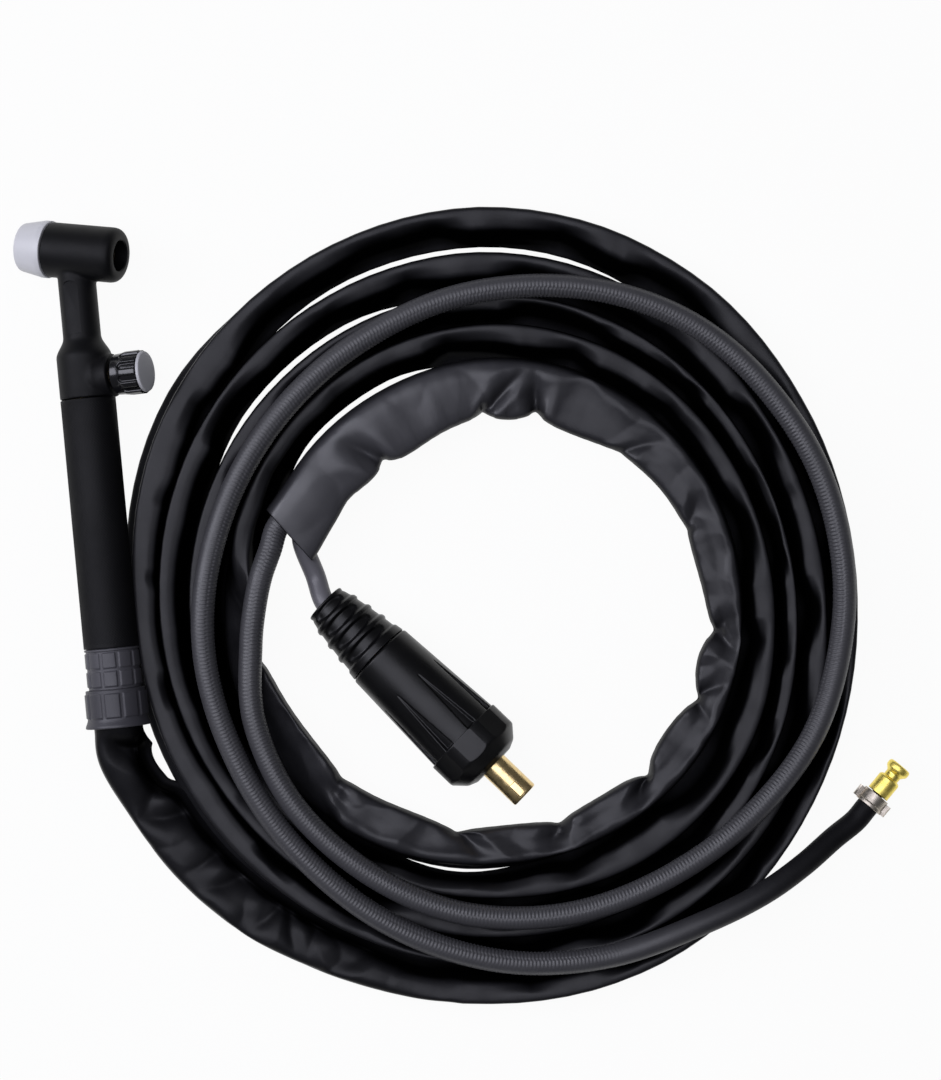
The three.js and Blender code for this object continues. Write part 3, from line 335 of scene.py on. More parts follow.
# The locking ring's copy of the ring grey, made darker: a painted shade.
shaded_lock_grey = plastic("shaded_lock_grey", (0.040, 0.039, 0.046), 0.45, (0.055, 0.054, 0.062), specular=0.4)
knob_gloss = plastic("knob_gloss", (0.007, 0.007, 0.008), 0.18, (0.02, 0.02, 0.02), depth=0.00001)
knob_grey = plastic("knob_grey", (0.5, 0.5, 0.51), 0.5, (0.54, 0.54, 0.55))
white = plastic("insulator_white", (0.6, 0.6, 0.61), 0.38, (0.57, 0.57, 0.57), depth=0.00002)
plug_rubber = plastic("plug_rubber", (0.0026, 0.0026, 0.003), 0.34, (0.006, 0.006, 0.007), specular=0.3)
jacket = plastic("jacket", (0.13, 0.127, 0.14), 0.4, (0.15, 0.148, 0.16))
inner_rubber = plastic("inner_rubber", (0.012, 0.012, 0.013), 0.5)
brass = metal("brass", (0.84, 0.64, 0.32), 0.27, (0.6, 0.4, 0.18))
yellow_brass = metal("yellow_brass", (1.0, 0.82, 0.2), 0.42, (0.85, 0.66, 0.13))
copper = metal("copper", (0.60, 0.28, 0.14), 0.35, (0.35, 0.14, 0.07))
steel = metal("steel", (0.52, 0.47, 0.4), 0.4, (0.36, 0.33, 0.28))
# Brass painted nearly black, a painted shade, so that the head core looks dark deep in its bores.
painted_shade_brass = metal("painted_shade_brass", (0.05, 0.042, 0.03), 0.5, (0.02, 0.017, 0.013))
# Each turns from its dull colour to its second colour, a painted sheen, by the per-point share.
cover_black = painted_sheen_paint(
    "cover", (0.0007, 0.0007, 0.0008), (0.042, 0.0416, 0.047), 0.38, (0.055, 0.055, 0.058), 1500)
hose_black = painted_sheen_paint(
    "hose", (0.003, 0.003, 0.0034), (0.042, 0.0415, 0.046), 0.46, (0.06, 0.06, 0.064), 2600)


def dress(obj, paint, body, slot, *nodes):
    """Gives a piece its material and its body, and hides the CAD nodes it stands for. The slot is not used."""
    obj.data.materials.clear()
    obj.data.materials.append(paint.material)
    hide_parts(*nodes)
    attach(obj, body)
    return obj


def paint_node(node, paint):
    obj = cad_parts[node]
    if not obj.data.materials:
        obj.data.materials.append(paint.material)
    for slot in obj.material_slots:
        slot.material = paint.material


# ---- curves
CURVE_STEPS = 40
UP = Vector((0, 0, 1))


def curve_point(points, share):
    """A point on the smooth centripetal curve through the points."""
    place = clamp(share, 0, 1) * (len(points) - 1)
    index = min(int(place), len(points) - 2)
    weight = place - index
    p1, p2 = points[index], points[index + 1]
    p0 = points[index - 1] if index > 0 else 2 * p1 - p2
    p3 = points[index + 2] if index + 2 < len(points) else 2 * p2 - p1
    d0, d1, d2 = (max(math.sqrt((b - a).length), 1e-4) for a, b in ((p0, p1), (p1, p2), (p2, p3)))
    t1 = ((p1 - p0) / d0 - (p2 - p0) / (d0 + d1) + (p2 - p1) / d1) * d1
    t2 = ((p2 - p1) / d1 - (p3 - p1) / (d1 + d2) + (p3 - p2) / d2) * d1
    a = 2 * p1 - 2 * p2 + t1 + t2
    b = -3 * p1 + 3 * p2 - 2 * t1 - t2
    return a * weight**3 + b * weight**2 + t1 * weight + p1


def resampled(points, pitch):
    """Points at an even pitch along the curve through the given ones."""
    steps = CURVE_STEPS * len(points)
    dense = [curve_point(points, step / steps) for step in range(steps + 1)]
    places = [0.0]
    for a, b in zip(dense, dense[1:]):
        places.append(places[-1] + (b - a).length)
    count = max(2, round(places[-1] / pitch))
    result, at = [], 0
    for step in range(count + 1):
        target = places[-1] * step / count
        while at < len(places) - 2 and places[at + 1] < target:
            at += 1
        span = places[at + 1] - places[at]
        result.append(dense[at].lerp(dense[at + 1], (target - places[at]) / span if span else 0))
    return result


def frames_along(points):
    """Sideways and up vectors along a path that mostly lies flat."""
    frames = []
    for before, after in zip(points[:1] + points, points[1:] + points[-1:]):
        direction = (after - before).normalized()
        side = UP.cross(direction).normalized()
        frames.append((side, direction.cross(side)))
    return frames


def cord_tube(name, points, pitch, sides, radius_at):
    """A tube on a curve, with its line. radius_at(place, left, point, side, angles) sizes a ring."""
    path = resampled(points, pitch)
    angles = np.arange(sides) / sides * TAU
    rings = []
    for row, (point, (side, up)) in enumerate(zip(path, frames_along(path))):
        place = row * pitch
        radius = radius_at(place, (len(path) - 1) * pitch - place, point, side, angles)
        offset = np.outer(np.cos(angles) * radius, side) + np.outer(np.sin(angles) * radius, up)
        rings.append(np.array(point) + offset)
    return mesh_object(name, *tube(rings)), path


# ---- where things lie, as in the CAD
ROLL = 19
EXIT = Vector((-2.055, -111.933, 18.285))
CROSSING = Vector((-2.055, 100.167, 18.285))
HANDLE_RADIUS = 12.5
HEAD_TILT = 11.4
VALVE_Y = -57.6
COIL_CENTRE = (EXIT.x + HANDLE_RADIUS + 161.2, EXIT.y + 34.9)
HANDSET = Matrix.Translation(CROSSING) @ turned(-ROLL, "Y")
KNOB = HANDSET @ Matrix.Translation((0, VALVE_Y, 0)) @ turned(-90, "Z")
BARREL = HANDSET @ turned(-HEAD_TILT - 90, "Z")
FLOOR_CLEARANCE = 0.05


def from_centre(x, y, z):
    return Vector((COIL_CENTRE[0] + x, COIL_CENTRE[1] + y, z))


def polar(angle, distance, height):
    angle = math.radians(angle)
    return from_centre(distance * math.cos(angle), distance * math.sin(angle), height)


# ---- the cover's coil, as in the CAD
COVER_WIDTH, COVER_TALL = 13, 19
MOUTH_WIDTH, MOUTH_TALL, MOUTH_ROLL, MOUTH_RUN, MOUTH_LIFT = 28.5, 14.4, 28, 25, 20.0
COIL_START, COIL_TURNS = -95.4, 4.651
LOOP_GAP, WIDE_GAP = 0.8, 3.5
WIDE_GAPS = [(0.52, 0.14), (1.61, 0.1), (3.6, 0.09)]
# The outer edge's distance from the coil's centre, every 30 degrees, one loop a row, and last the
# inner edge of the last loop.
COVER_EDGES = [
    181.5, 179.5, 171, 166, 168.5, 176.5, 181, 178.5, 172.5, 163, 161.5, 162,
    164, 164.5, 159, 152, 151, 156, 160.5, 159, 155.5, 151.5, 149.5, 149.5,
    151.5, 151, 145, 138.5, 137, 139.5, 142, 141.5, 139.5, 138, 137, 135,
    133.5, 135.5, 134, 128.5, 127, 128, 128, 126, 123, 122, 123, 121,
    117.5, 116.5, 115.5, 113, 112.5, 112.5, 112, 109.5, 108.5, 107, 105, 103,
    101.5, 99.5, 99, 98.5, 93.5, 87.5, 84.5, 80.5, 79, 79,
]
# The lead's way from the handle to the coil: x and y from the coil's centre, height and width.
LEAD_ROUTE = [
    (-173.5, -52.4, 14.2, 23), (-163.8, -74.2, 9, 23.5), (-145.9, -103.3, 7.2, 23.5),
    (-120.9, -129.6, 7.4, 22.5), (-88.4, -150.4, 8, 20.5), (-53.3, -165.6, 8.4, 17.6),
]
LEAD_RADIUS = 11.1
LEAD_STEPS, COIL_STEPS = 240, 460


def cover_edge(turn):
    place = max(turn, 0) * 12
    index = math.floor(place)
    share = place - index
    last = len(COVER_EDGES) - 1
    before, a, b, after = (COVER_EDGES[int(clamp(index + step, 0, last))] for step in (-1, 0, 1, 2))
    leaving, arriving = (b - before) / 2, (after - a) / 2
    bend = 2 * (a - b) + leaving + arriving
    climb = 3 * (b - a) - 2 * leaving - arriving
    return a + share * (leaving + share * (climb + share * bend))


def wide_gap_share(turn):
    """From 0 to 1, where two loops lie apart and the floor shows between them."""
    return max(1 - smoothstep(abs(turn - middle), 0.3 * reach, reach) for middle, reach in WIDE_GAPS)


def cover_width(turn):
    gap = lerp(LOOP_GAP, WIDE_GAP, wide_gap_share(turn))
    return cover_edge(turn) - cover_edge(turn + 1) - gap


def cover_tall(width):
    share = (width - COVER_WIDTH) / (MOUTH_WIDTH - COVER_WIDTH)
    return lerp(COVER_TALL, MOUTH_TALL, clamp(share, 0, 1))


def coil_point(turn):
    angle = math.radians(360 * turn + COIL_START)
    radius = cover_edge(turn) - cover_width(turn) / 2
    return Vector(COIL_CENTRE) + Vector((math.cos(angle), math.sin(angle))) * radius


def cover_station(turn, run=0.0):
    """The cover's centre, direction, width and lean at a turn, or straight on from there by a run."""
    along = clamp(turn, 0, COIL_TURNS)
    direction = (coil_point(along + 0.002) - coil_point(along - 0.002)).normalized()
    here = coil_point(along) + direction * run
    width = cover_width(along)
    leaning = smoothstep(along, COIL_TURNS - 0.23, COIL_TURNS)
    height = lerp(cover_tall(width) / 2, MOUTH_LIFT, leaning)
    return Vector((here.x, here.y, height)), direction, width, math.radians(MOUTH_ROLL) * leaning


def cover_path():
    """Stations of the whole cover: centre, width, tall, lean and turn, which is below 0 on the lead."""
    stations = []
    back = cover_station(0, -COVER_WIDTH)[0]
    start_width = cover_width(0)
    lead = [EXIT.copy(), EXIT + Vector((0, -6, -0.1))]
    lead += [from_centre(x, y, z) for x, y, z, _ in LEAD_ROUTE] + [back]
    sizes = [2 * LEAD_RADIUS] * 2 + [row[3] for row in LEAD_ROUTE] + [start_width]
    for step in range(LEAD_STEPS):
        share = step / LEAD_STEPS
        place = share * (len(sizes) - 1)
        index = int(place)
        width = lerp(sizes[index], sizes[index + 1], place - index)
        centre = curve_point(lead, share)
        tall = lerp(2 * LEAD_RADIUS, cover_tall(width), smoothstep(share, 0, 0.22))
        stations.append((centre, width, min(tall, 2 * centre.z), 0.0, share - 1))
    stations.append((back, start_width, cover_tall(start_width), 0.0, 0.0))
    rows = [(COIL_TURNS * step / COIL_STEPS, 0.0) for step in range(COIL_STEPS + 1)]
    rows += [(COIL_TURNS, run) for run in (6, 12, 18, MOUTH_RUN, MOUTH_RUN + 2)]
    for turn, run in rows:
        centre, _, width, lean = cover_station(turn, run)
        stations.append((centre, width, cover_tall(width), lean, turn + run / 1000))
    return stations


def mouth_point(across, run):
    centre, direction, _, lean = cover_station(COIL_TURNS, MOUTH_RUN + run)
    inward = Vector((-direction.y, direction.x, 0))
    point = centre + inward * (across * math.cos(lean))
    point.z = centre.z - across * math.sin(lean)
    return point


# ---- the cover's forms
SECTION_POINTS = 84
COVER_PITCH = 0.9
MOUTH_LEAN_SEEN = 0.4  # the loose cloth over the mouth leans less than the solid
LOWEST = 0.1
# Sections, across from the outer to the inner side and up, in halves of the width and the height.
# A standing loop has its crest by the outer side, an undercut below it and a steep inner slope.
NARROW_CREST = [
    (-0.45, -1), (-0.85, -0.8), (-1.0, -0.3), (-1.0, 0.25), (-0.98, 0.7), (-0.9, 0.94), (-0.72, 1.0),
    (-0.5, 0.96), (-0.32, 0.68), (-0.16, 0.1), (0.1, -0.5), (0.55, -0.82), (1.0, -0.92), (0.96, -1.0),
    (0.3, -1),
]
BROAD_CREST = [
    (-0.45, -1), (-0.85, -0.8), (-1.0, -0.3), (-1.0, 0.25), (-0.99, 0.74), (-0.9, 0.95), (-0.62, 1.0),
    (-0.15, 0.97), (0.26, 0.85), (0.5, 0.48), (0.66, -0.08), (0.82, -0.6), (0.98, -0.9), (0.94, -1.0),
    (0.3, -1),
]
# The last loop lies: a steep outer side, a crest and a broad top that falls a little inwards.
LYING = [
    (-0.5, -1), (-0.9, -0.95), (-1.0, -0.6), (-0.97, 0.0), (-0.88, 0.56), (-0.74, 0.9), (-0.54, 1.0),
    (-0.28, 0.9), (0.04, 0.82), (0.46, 0.78), (0.84, 0.66), (0.985, 0.36), (1.0, -0.3), (0.75, -1), (0, -1),
]
# Where it starts, its whole top slopes outwards from a thin ridge along the inner edge.
SLOPING = [
    (-0.5, -1), (-0.9, -0.95), (-1.0, -0.75), (-0.86, -0.5), (-0.6, -0.25), (-0.3, 0.02), (0.0, 0.3),
    (0.3, 0.58), (0.58, 0.84), (0.8, 1.0), (0.95, 0.9), (1.0, 0.45), (1.0, -0.4), (0.75, -1), (0, -1),
]
MOUTH = [
    (-0.6, -1), (-0.92, -0.75), (-1.0, -0.2), (-0.97, 0.35), (-0.84, 0.8), (-0.55, 1.0), (-0.1, 1.06),
    (0.32, 1.04), (0.7, 0.94), (0.93, 0.7), (1.0, 0.15), (0.96, -0.5), (0.75, -0.9), (0.4, -1), (0, -1),
]
# The lead has its lit top over the outer part, and a low foot that reaches the coil.
LEAD = [
    (-0.6, -1), (-0.92, -0.75), (-1.0, -0.2), (-0.97, 0.35), (-0.84, 0.78), (-0.55, 0.98), (-0.15, 1.0),
    (0.2, 0.9), (0.42, 0.6), (0.52, 0.15), (0.6, -0.3), (0.76, -0.68), (1.0, -0.88), (0.92, -1), (0, -1),
]
# Notches in the last loop's inner edge: the turn, how deep, how wide, and how its creases slant.
NOTCHES = [
    (3.787, 2.6, 7, (0.5,)), (3.887, 2.2, 9, (0.4,)), (3.976, 3.2, 9, (0.9,)), (4.048, 3.6, 9, (-0.6,)),
    (4.118, 6.2, 8, (-0.9,)), (4.182, 5.4, 8, (-0.5, 0.9)), (4.232, 4.6, 7, (0.7, -0.8)),
    (4.31, 1.4, 7, (0.9,)), (4.39, 1.2, 8, (-0.8,)), (4.465, 4.6, 6, (0.15,)), (4.509, 3.6, 6, (-0.9,)),
    (4.604, 4.4, 8, (0.4,)),
]
# Where that edge swells: the turn, how far, and the reach in turns.
SWELLS = [
    (3.85, 3.0, 0.05), (3.94, 1.8, 0.03), (4.01, 1.2, 0.03), (4.15, 2.0, 0.03), (4.21, 3.0, 0.025),
    (4.28, 3.0, 0.04), (4.43, 1.6, 0.03), (4.49, 1.4, 0.02), (4.59, 3.6, 0.045),
]
# The lead's own folds, the same way as the notches but by their place along it.
LEAD_FOLDS = [
    (19, 4.4, 9, (-0.5,)), (37, 3.0, 8, (0.5,)), (61, 4.4, 9, (-0.7,)), (84, 3.0, 7, (-0.3,)),
    (103, 3.6, 9, (-0.8,)), (124, 4.8, 7, (-0.4, 0.8)), (141, 3.0, 7, (0.2,)), (172, 2.8, 13, (-0.8,)),
    (214, 2.2, 14, (-0.6,)), (255, 1.6, 12, (0.5,)),
]
# Where these forms set in or end, in turns: the last loop lies, its start slopes, its mouth opens,
# and the first loop is wider beside the handle.
LYING_FROM, MOUTH_FROM = (3.68, 3.8), (4.42, 4.56)
SLOPING_FROM, SLOPING_TO = (3.7, 3.76), (3.87, 3.91)
HANDLE_FROM, HANDLE_TO = (0.58, 0.66), (0.86, 0.94)
HANDLE_CREST, HANDLE_FOOT = 3.6, 5.5
# Where the floor shows between a loop and the next one, and how far each draws back there.
SLIVER, SLIVER_REACH, SLIVER_BEFORE, SLIVER_BEHIND = 2.98, 0.05, 6.5, 2.4
# The hem round the open mouth and the pocket behind it: how far in, and how far along.
HEM = [(0.25, 0.35), (0.7, 0.45), (1.1, 0.2), (1.25, -2.0), (1.3, -8.0), (1.35, -14.0)]


def closed_curve(corners):
    """Points at an even pitch on the smooth closed curve through a section's corners."""
    size, steps = len(corners), 24
    dense = []
    for index in range(size):
        p0, p1, p2, p3 = (Vector(corners[(index + k) % size]) for k in (-1, 0, 1, 2))
        for step in range(steps):
            t = step / steps
            square, cube = 2 * p0 - 5 * p1 + 4 * p2 - p3, 3 * p1 - p0 - 3 * p2 + p3
            dense.append(tuple(0.5 * ((2 * p1) + (p2 - p0) * t + square * t**2 + cube * t**3)))
    array = np.array(dense + dense[:1])
    places = np.concatenate([[0], np.cumsum(np.linalg.norm(np.diff(array, axis=0), axis=1))])
    wanted = np.linspace(0, places[-1], SECTION_POINTS, endpoint=False)
    return np.stack([np.interp(wanted, places, array[:, k]) for k in (0, 1)], axis=1)[None]


def wavy(s, scale, seed):
    """Smooth noise from -1 to 1 along a line of places."""
    values = [noise.noise(Vector((place / scale, seed * 7.31, seed * 3.17))) * 2 for place in s.flat]
    return np.reshape(values, s.shape)


def crumpled(s, around, scale, seed):
    """Noise over the surface whose zero lines are sharp creases, from 0 to 1."""
    values = [
        [abs(noise.noise(Vector((place / scale, spot / scale, seed * 5.7)))) for spot in around]
        for place in s.flat
    ]
    return np.minimum(np.array(values) * 2, 1)


def tooth_rows(start, end):
    """Teeth at uneven places, in the form of NOTCHES."""
    source = random.Random(5)
    rows = []
    place = start + source.uniform(30, 60) * 0.5
    while place < end:
        slants = [source.uniform(-1, 1)]
        if source.random() < 0.5:
            slants.append(slants[0] + math.copysign(source.uniform(0.6, 1.1), -slants[0]))
        rows.append((place, source.uniform(0.5, 1.6), source.uniform(7, 14), slants))
        place += source.uniform(30, 60)
    return rows


def teeth_at(s, rows):
    """A line of soft teeth."""
    total = np.zeros(s.shape)
    for place, depth, width, _ in rows:
        total = np.maximum(total, depth * np.exp(-np.abs((s - place) / width) ** 1.3))
    return total


def notches_at(s, rows):
    """How far an inner edge draws back in its notches, which end in a soft point."""
    total = np.zeros(s.shape)
    for place, depth, width, _ in rows:
        total += depth * np.exp(-(np.sqrt((s - place) ** 2 + 1.2) - 1.1) / (0.7 * width))
    return total


def folds_at(s, t, reach, rows):
    """How deep folds lie that start at the inner edge, where t is 1, and fan out to the outer one."""
    total = np.zeros(t.shape)
    for place, depth, width, slants in rows:
        near = (np.abs(s - place) < 5 * width + 1.3 * reach.max())[:, 0]
        out = 1 - t[near]
        for slant in slants:
            offset = (s[near] - (place + slant * out * reach[near])) / (width * (0.55 + 0.5 * out))
            valley = np.exp(-1.5 * (np.sqrt(offset**2 + 0.04) - 0.2))
            shoulder = np.exp(-((np.abs(offset) - 1.7) ** 2) / 0.8)
            total[near] += depth / len(slants) ** 0.5 * rise(t[near], 0.0, 0.7) * (valley - 0.18 * shoulder)
    return total


def crest_leaves(s, start, end):
    """Where a crest is broad: long leaves that narrow slowly at one end."""
    source = random.Random(11)
    total = np.zeros(s.shape)
    place = start
    while place < end:
        size = source.uniform(0.45, 1.0)
        slow, fast = source.uniform(34, 60), source.uniform(16, 28)
        if source.random() < 0.5:
            slow, fast = fast, slow
        away = np.where(s < place, (place - s) / slow, (s - place) / fast)
        total = np.maximum(total, size * fall(away, 0.0, 1.0))
        place += source.uniform(38, 74)
    return total + 0.12 * wavy(s, 26, 6)


def blend(first, second, share):
    return first * (1 - share[:, :, None]) + second * share[:, :, None]


# ---- the cover
class Cover:
    """The cover from the handle to its open mouth, as columns with a row every COVER_PITCH."""

    def __init__(self):
        stations = cover_path()
        centres = np.array([tuple(station[0]) for station in stations])
        places = np.concatenate([[0], np.cumsum(np.linalg.norm(np.diff(centres, axis=0), axis=1))])
        s = np.linspace(0, places[-1], round(places[-1] / COVER_PITCH))
        self.centre = np.stack([np.interp(s, places, centres[:, axis]) for axis in range(3)], axis=1)
        sizes = [np.interp(s, places, [station[index] for station in stations]) for index in (1, 2, 3, 4)]
        even = np.ones(9) / 9
        for index in (0, 1):
            sizes[index] = np.convolve(np.pad(sizes[index], 4, mode="edge"), even, mode="valid")
        self.s = s[:, None]
        self.width, self.tall, self.lean, self.turn = (size[:, None] for size in sizes)
        self.total = s[-1]
        self.coil_start = s[np.argmax(sizes[3] >= 0)]
        direction = np.gradient(self.centre, axis=0)
        direction[:, 2] = 0
        self.direction = direction / np.linalg.norm(direction, axis=1, keepdims=True)
        self.inward = np.stack([-self.direction[:, 1], self.direction[:, 0], 0 * s], axis=1)

        self.on_lead = fall(self.s, self.coil_start - 60, self.coil_start + 20)
        self.lying = rise(self.turn, *LYING_FROM)
        self.at_mouth = rise(self.turn, *MOUTH_FROM)
        self.flat_top = self.lying * (1 - self.at_mouth)
        self.standing = (1 - self.lying) * (1 - self.on_lead)
        self.by_handle = rise(self.turn, *HANDLE_FROM) * fall(self.turn, *HANDLE_TO)
        self.loose = rise(self.s, 2, 16)  # it starts as a circle, tight in the handle's collar
        self.notches = [(np.interp(row[0], sizes[3], s), *row[1:]) for row in NOTCHES]

    def sections(self):
        """Each row's section, in halves of the width and the height."""
        narrow, broad, low, slope, mouth, lead = map(
            closed_curve, (NARROW_CREST, BROAD_CREST, LYING, SLOPING, MOUTH, LEAD))
        wide = 0.5 * bell(self.turn % 1, 0.76, 0.14) * (1 - self.on_lead)
        leaves = crest_leaves(self.s, self.coil_start, self.total)
        sloping = rise(self.turn, *SLOPING_FROM) * fall(self.turn, *SLOPING_TO)
        angles = np.arctan2(mouth[:, :, 1], mouth[:, :, 0])
        circle = np.stack([np.cos(angles), np.sin(angles)], axis=2)
        shape = blend(narrow, broad, np.clip(0.3 + wide + leaves, 0, 1))
        for section, share in (
            (low, self.lying), (slope, sloping), (mouth, self.at_mouth), (lead, self.on_lead),
            (circle, 1 - self.loose),
        ):
            shape = blend(shape, section, share)
        return shape[:, :, 0], shape[:, :, 1]

    def inner_edge(self):
        """How far the inner edge draws back in notches, or comes out below 0."""
        edge = notches_at(self.s, self.notches) * self.lying
        for middle, far, reach in SWELLS:
            edge -= far * bell(self.turn, middle, reach)
        # The lead's foot reaches the coil but for the first bit, where the floor shows.
        outwards = self.centre[:, :2] - np.array(COIL_CENTRE)
        beyond = np.degrees(np.arctan2(outwards[:, 1], outwards[:, 0])) - COIL_START
        coil_edge = np.array([[cover_edge(value)] for value in (beyond / 360) % 1])
        room = np.linalg.norm(outwards, axis=1, keepdims=True) - self.width / 2 - coil_edge
        edge -= np.clip(room + 1.6, 0, 9.5) * rise(self.s, 38, 50) * self.on_lead
        edge -= 2.0 * bell(self.s, 14, 7) - 1.0 * bell(self.s, 30, 9)
        edge -= 1.3 * rise(self.s, self.total - 16, self.total) - 1.5 * bell(self.s, self.total - 27, 9)
        return edge

    def dents(self, u):
        """How deep the folds and the crumpled cloth lie."""
        t = np.clip((u + 1) / 2, 0, 1)
        soft = np.maximum(self.lying, self.on_lead)
        ring = closed_curve(MOUTH)[0]
        around = 11 * np.cumsum(np.linalg.norm(np.diff(ring, axis=0, append=ring[:1]), axis=1))
        creases = [(place, 0.8 * depth + 1.2, width, slants) for place, depth, width, slants in self.notches]
        dent = folds_at(self.s, t, self.width, creases) * self.lying
        dent += folds_at(self.s, t, self.width, LEAD_FOLDS) * self.on_lead * fall(u, 0.4, 0.6)
        dent += (1 - crumpled(self.s, around, 34, 1)) ** 2.5 * (0.6 * soft + 0.5 * self.on_lead)
        dent += (crumpled(self.s, around, 26, 7) - 0.5) * 1.6 * soft * (1 - 0.8 * self.at_mouth)
        return dent

    def surface(self, u, v):
        """How far across and up each point lies from its row's centre."""
        s, standing, by_handle, flat_top = self.s, self.standing, self.by_handle, self.flat_top
        upper = rise(v, -0.6, 0.3)
        on_crest = rise(u, -0.95, -0.5) * fall(u, 0.5, 1.0) * upper
        # The crest wanders a little, and a row of soft teeth pushes it in and out.
        teeth = teeth_at(s, tooth_rows(self.coil_start, self.total))
        step_in = HANDLE_CREST * by_handle + (teeth - 0.7) * standing
        step_in += (1.6 * wavy(s, 21, 8) + 0.8 * wavy(s, 9, 9)) * flat_top
        across = u * self.width / 2 + on_crest * step_in
        # Under the next loop's undercut the slope's foot hides the floor, but for the open places.
        open_share = np.array([[wide_gap_share(turn) if turn > 0 else 0.5] for turn in self.turn.flat])
        across += rise(u, 0.3, 1.0) * fall(v, -0.9, -0.2) * 1.7 * (1 - open_share) * standing
        # Beside the handle a foot on the outer side hides it too.
        across -= fall(u, -0.9, -0.3) * fall(v, -0.8, -0.35) * HANDLE_FOOT * by_handle
        before, behind = (bell(self.turn, place, SLIVER_REACH) for place in (SLIVER, SLIVER + 1))
        across -= rise(u, 0.0, 1.0) * SLIVER_BEFORE * before
        across -= fall(u, -0.9, -0.6) * fall(v, -0.8, 0.2) * SLIVER_BEHIND * behind
        across -= fall(u, -0.9, 0.0) * 1.6 * flat_top
        tight = np.maximum(self.loose, rise(s, 2, 9))
        across -= self.inner_edge() * rise(u, -0.1, 1.0) * tight
        billow = 0.45 * wavy(s, 31, 3) + 0.25 * wavy(s, 12, 4)
        up = v * self.tall / 2 + 0.6 * self.at_mouth * v
        up += billow * (1 + 0.6 * self.lying) * upper * self.loose
        up -= self.dents(u) * rise(v, -0.5, 0.3) * self.loose
        return across, up

    def painted_sheen(self, obj, u, spare):
        """A painted sheen: cloth that faces up is painted lighter, as if lit from above, and the coil's outer
        side a little too. Steep sides stay dull black, a painted shade.
        """
        def per_point(values):
            return np.concatenate([np.broadcast_to(values, u.shape).ravel(), np.zeros(spare)])

        normals = np.empty(len(obj.data.vertices) * 3, dtype=np.float32)
        obj.data.vertex_normals.foreach_get("vector", normals)
        # How much painted sheen each part may take: most at the mouth, less on the loops, least on the lead.
        level = 0.44 * self.standing + 0.47 * self.flat_top + self.at_mouth + 0.28 * self.on_lead
        steep = per_point(0.6 * self.standing + 0.45 * self.on_lead - 0.1)
        # A faint painted sheen on the outer side of the first loop.
        flank = 0.25 * fall(u, -0.97, -0.8) * fall(self.turn, 0.97, 1.03)
        facing_up = np.clip((normals[2::3] - steep) / (0.92 - 0.7 * steep), 0, 1)
        return np.maximum(per_point(level) * facing_up**1.5, per_point(flank))

    def build(self):
        u, v = self.sections()
        across, up = self.surface(u, v)
        lean = self.lean * MOUTH_LEAN_SEEN
        sideways = across * np.cos(lean) + up * np.sin(lean)
        height = up * np.cos(lean) - across * np.sin(lean)
        # The mouth is cut aslant: its inner corner reaches further.
        slant = rise(self.s, self.total - 24, self.total) * (0.6 + 3.6 * u)
        points = self.centre[:, None] + self.inward[:, None] * sideways[:, :, None]
        points += self.direction[:, None] * slant[:, :, None]
        points[:, :, 2] = np.maximum(points[:, :, 2] + height, LOWEST)
        middles = (points.max(axis=1) + points.min(axis=1)) / 2
        aside = (sideways.max(axis=1) + sideways.min(axis=1)) / 2
        middles[:, :2] = self.centre[:, :2] + self.inward[:, :2] * aside[:, None]
        line = [Vector(point) for point in middles[::8]] + [Vector(middles[-1])]

        middle = points[-1].mean(axis=0)
        spread = points[-1] - middle
        reach = np.linalg.norm(spread, axis=1, keepdims=True)
        pocket = [middle + spread * (1 - inset / reach) + self.direction[-1] * run for inset, run in HEM]
        obj = mesh_object("cover", *tube([*points, *pocket], flipped=True))
        # Paints a sheen onto the cover's faces that point up; steep sides and the pocket stay dark.
        set_painted_sheen(obj, self.painted_sheen(obj, u, len(pocket) * SECTION_POINTS + 2))
        return obj, line


# ---- the gas hose, as in the CAD
HOSE_RADIUS = 5.5
HOSE_LIES = COVER_TALL + HOSE_RADIUS + 0.3
HOSE_PITCH, HOSE_SIDES = 0.36, 64
# The angle round the coil's centre, the distance from it and how much higher than HOSE_LIES.
HOSE_ROUTE = [
    (160.4, 103.4, -0.4), (167.5, 105.2, 1.6), (175.6, 107.4, 0.9), (184.1, 110.5, 0),
    (200.2, 119.3, 0), (219.6, 127, 0), (240.1, 133.2, 0), (258.6, 139.4, 0), (277.5, 143.1, 0),
    (295.1, 145.5, 0), (314.3, 150.1, 0), (333.6, 156.3, 0), (353.3, 158.7, 0), (368.8, 159.5, 0),
    (383.2, 159, 0), (401.6, 157.1, 0), (416.7, 153.6, 0), (433.1, 147.2, 0), (452.8, 139.8, 0),
    (474.3, 132.5, 0), (493, 129.2, 0), (511, 128.4, 0), (530.4, 129.9, 0), (547, 132.2, 0),
    (565.4, 134.9, 0), (582.6, 140.1, 0), (601.1, 148.2, 0), (615.8, 155.5, 0), (629.4, 161.9, 0),
    (643.9, 167.1, 0), (659.1, 172.3, 1.2), (668.1, 178.8, -2), (674.7, 184, -8.8),
]
CLAMP_RADIUS = HOSE_RADIUS + 0.3 + 1
NIPPLE_RUN = 7.4
NIPPLE = Matrix.Translation(polar(686.3, 194.6, CLAMP_RADIUS + FLOOR_CLEARANCE)) @ turned(45 - 90, "Z")
BRAID_BAR, BRAID_LADDERS = 1.7, 8
# Over these last lengths before the clamp the braid fades, and so does the sheen.
BRAID_FADES, SHEEN_FADES = (135, 160), (30, 170)


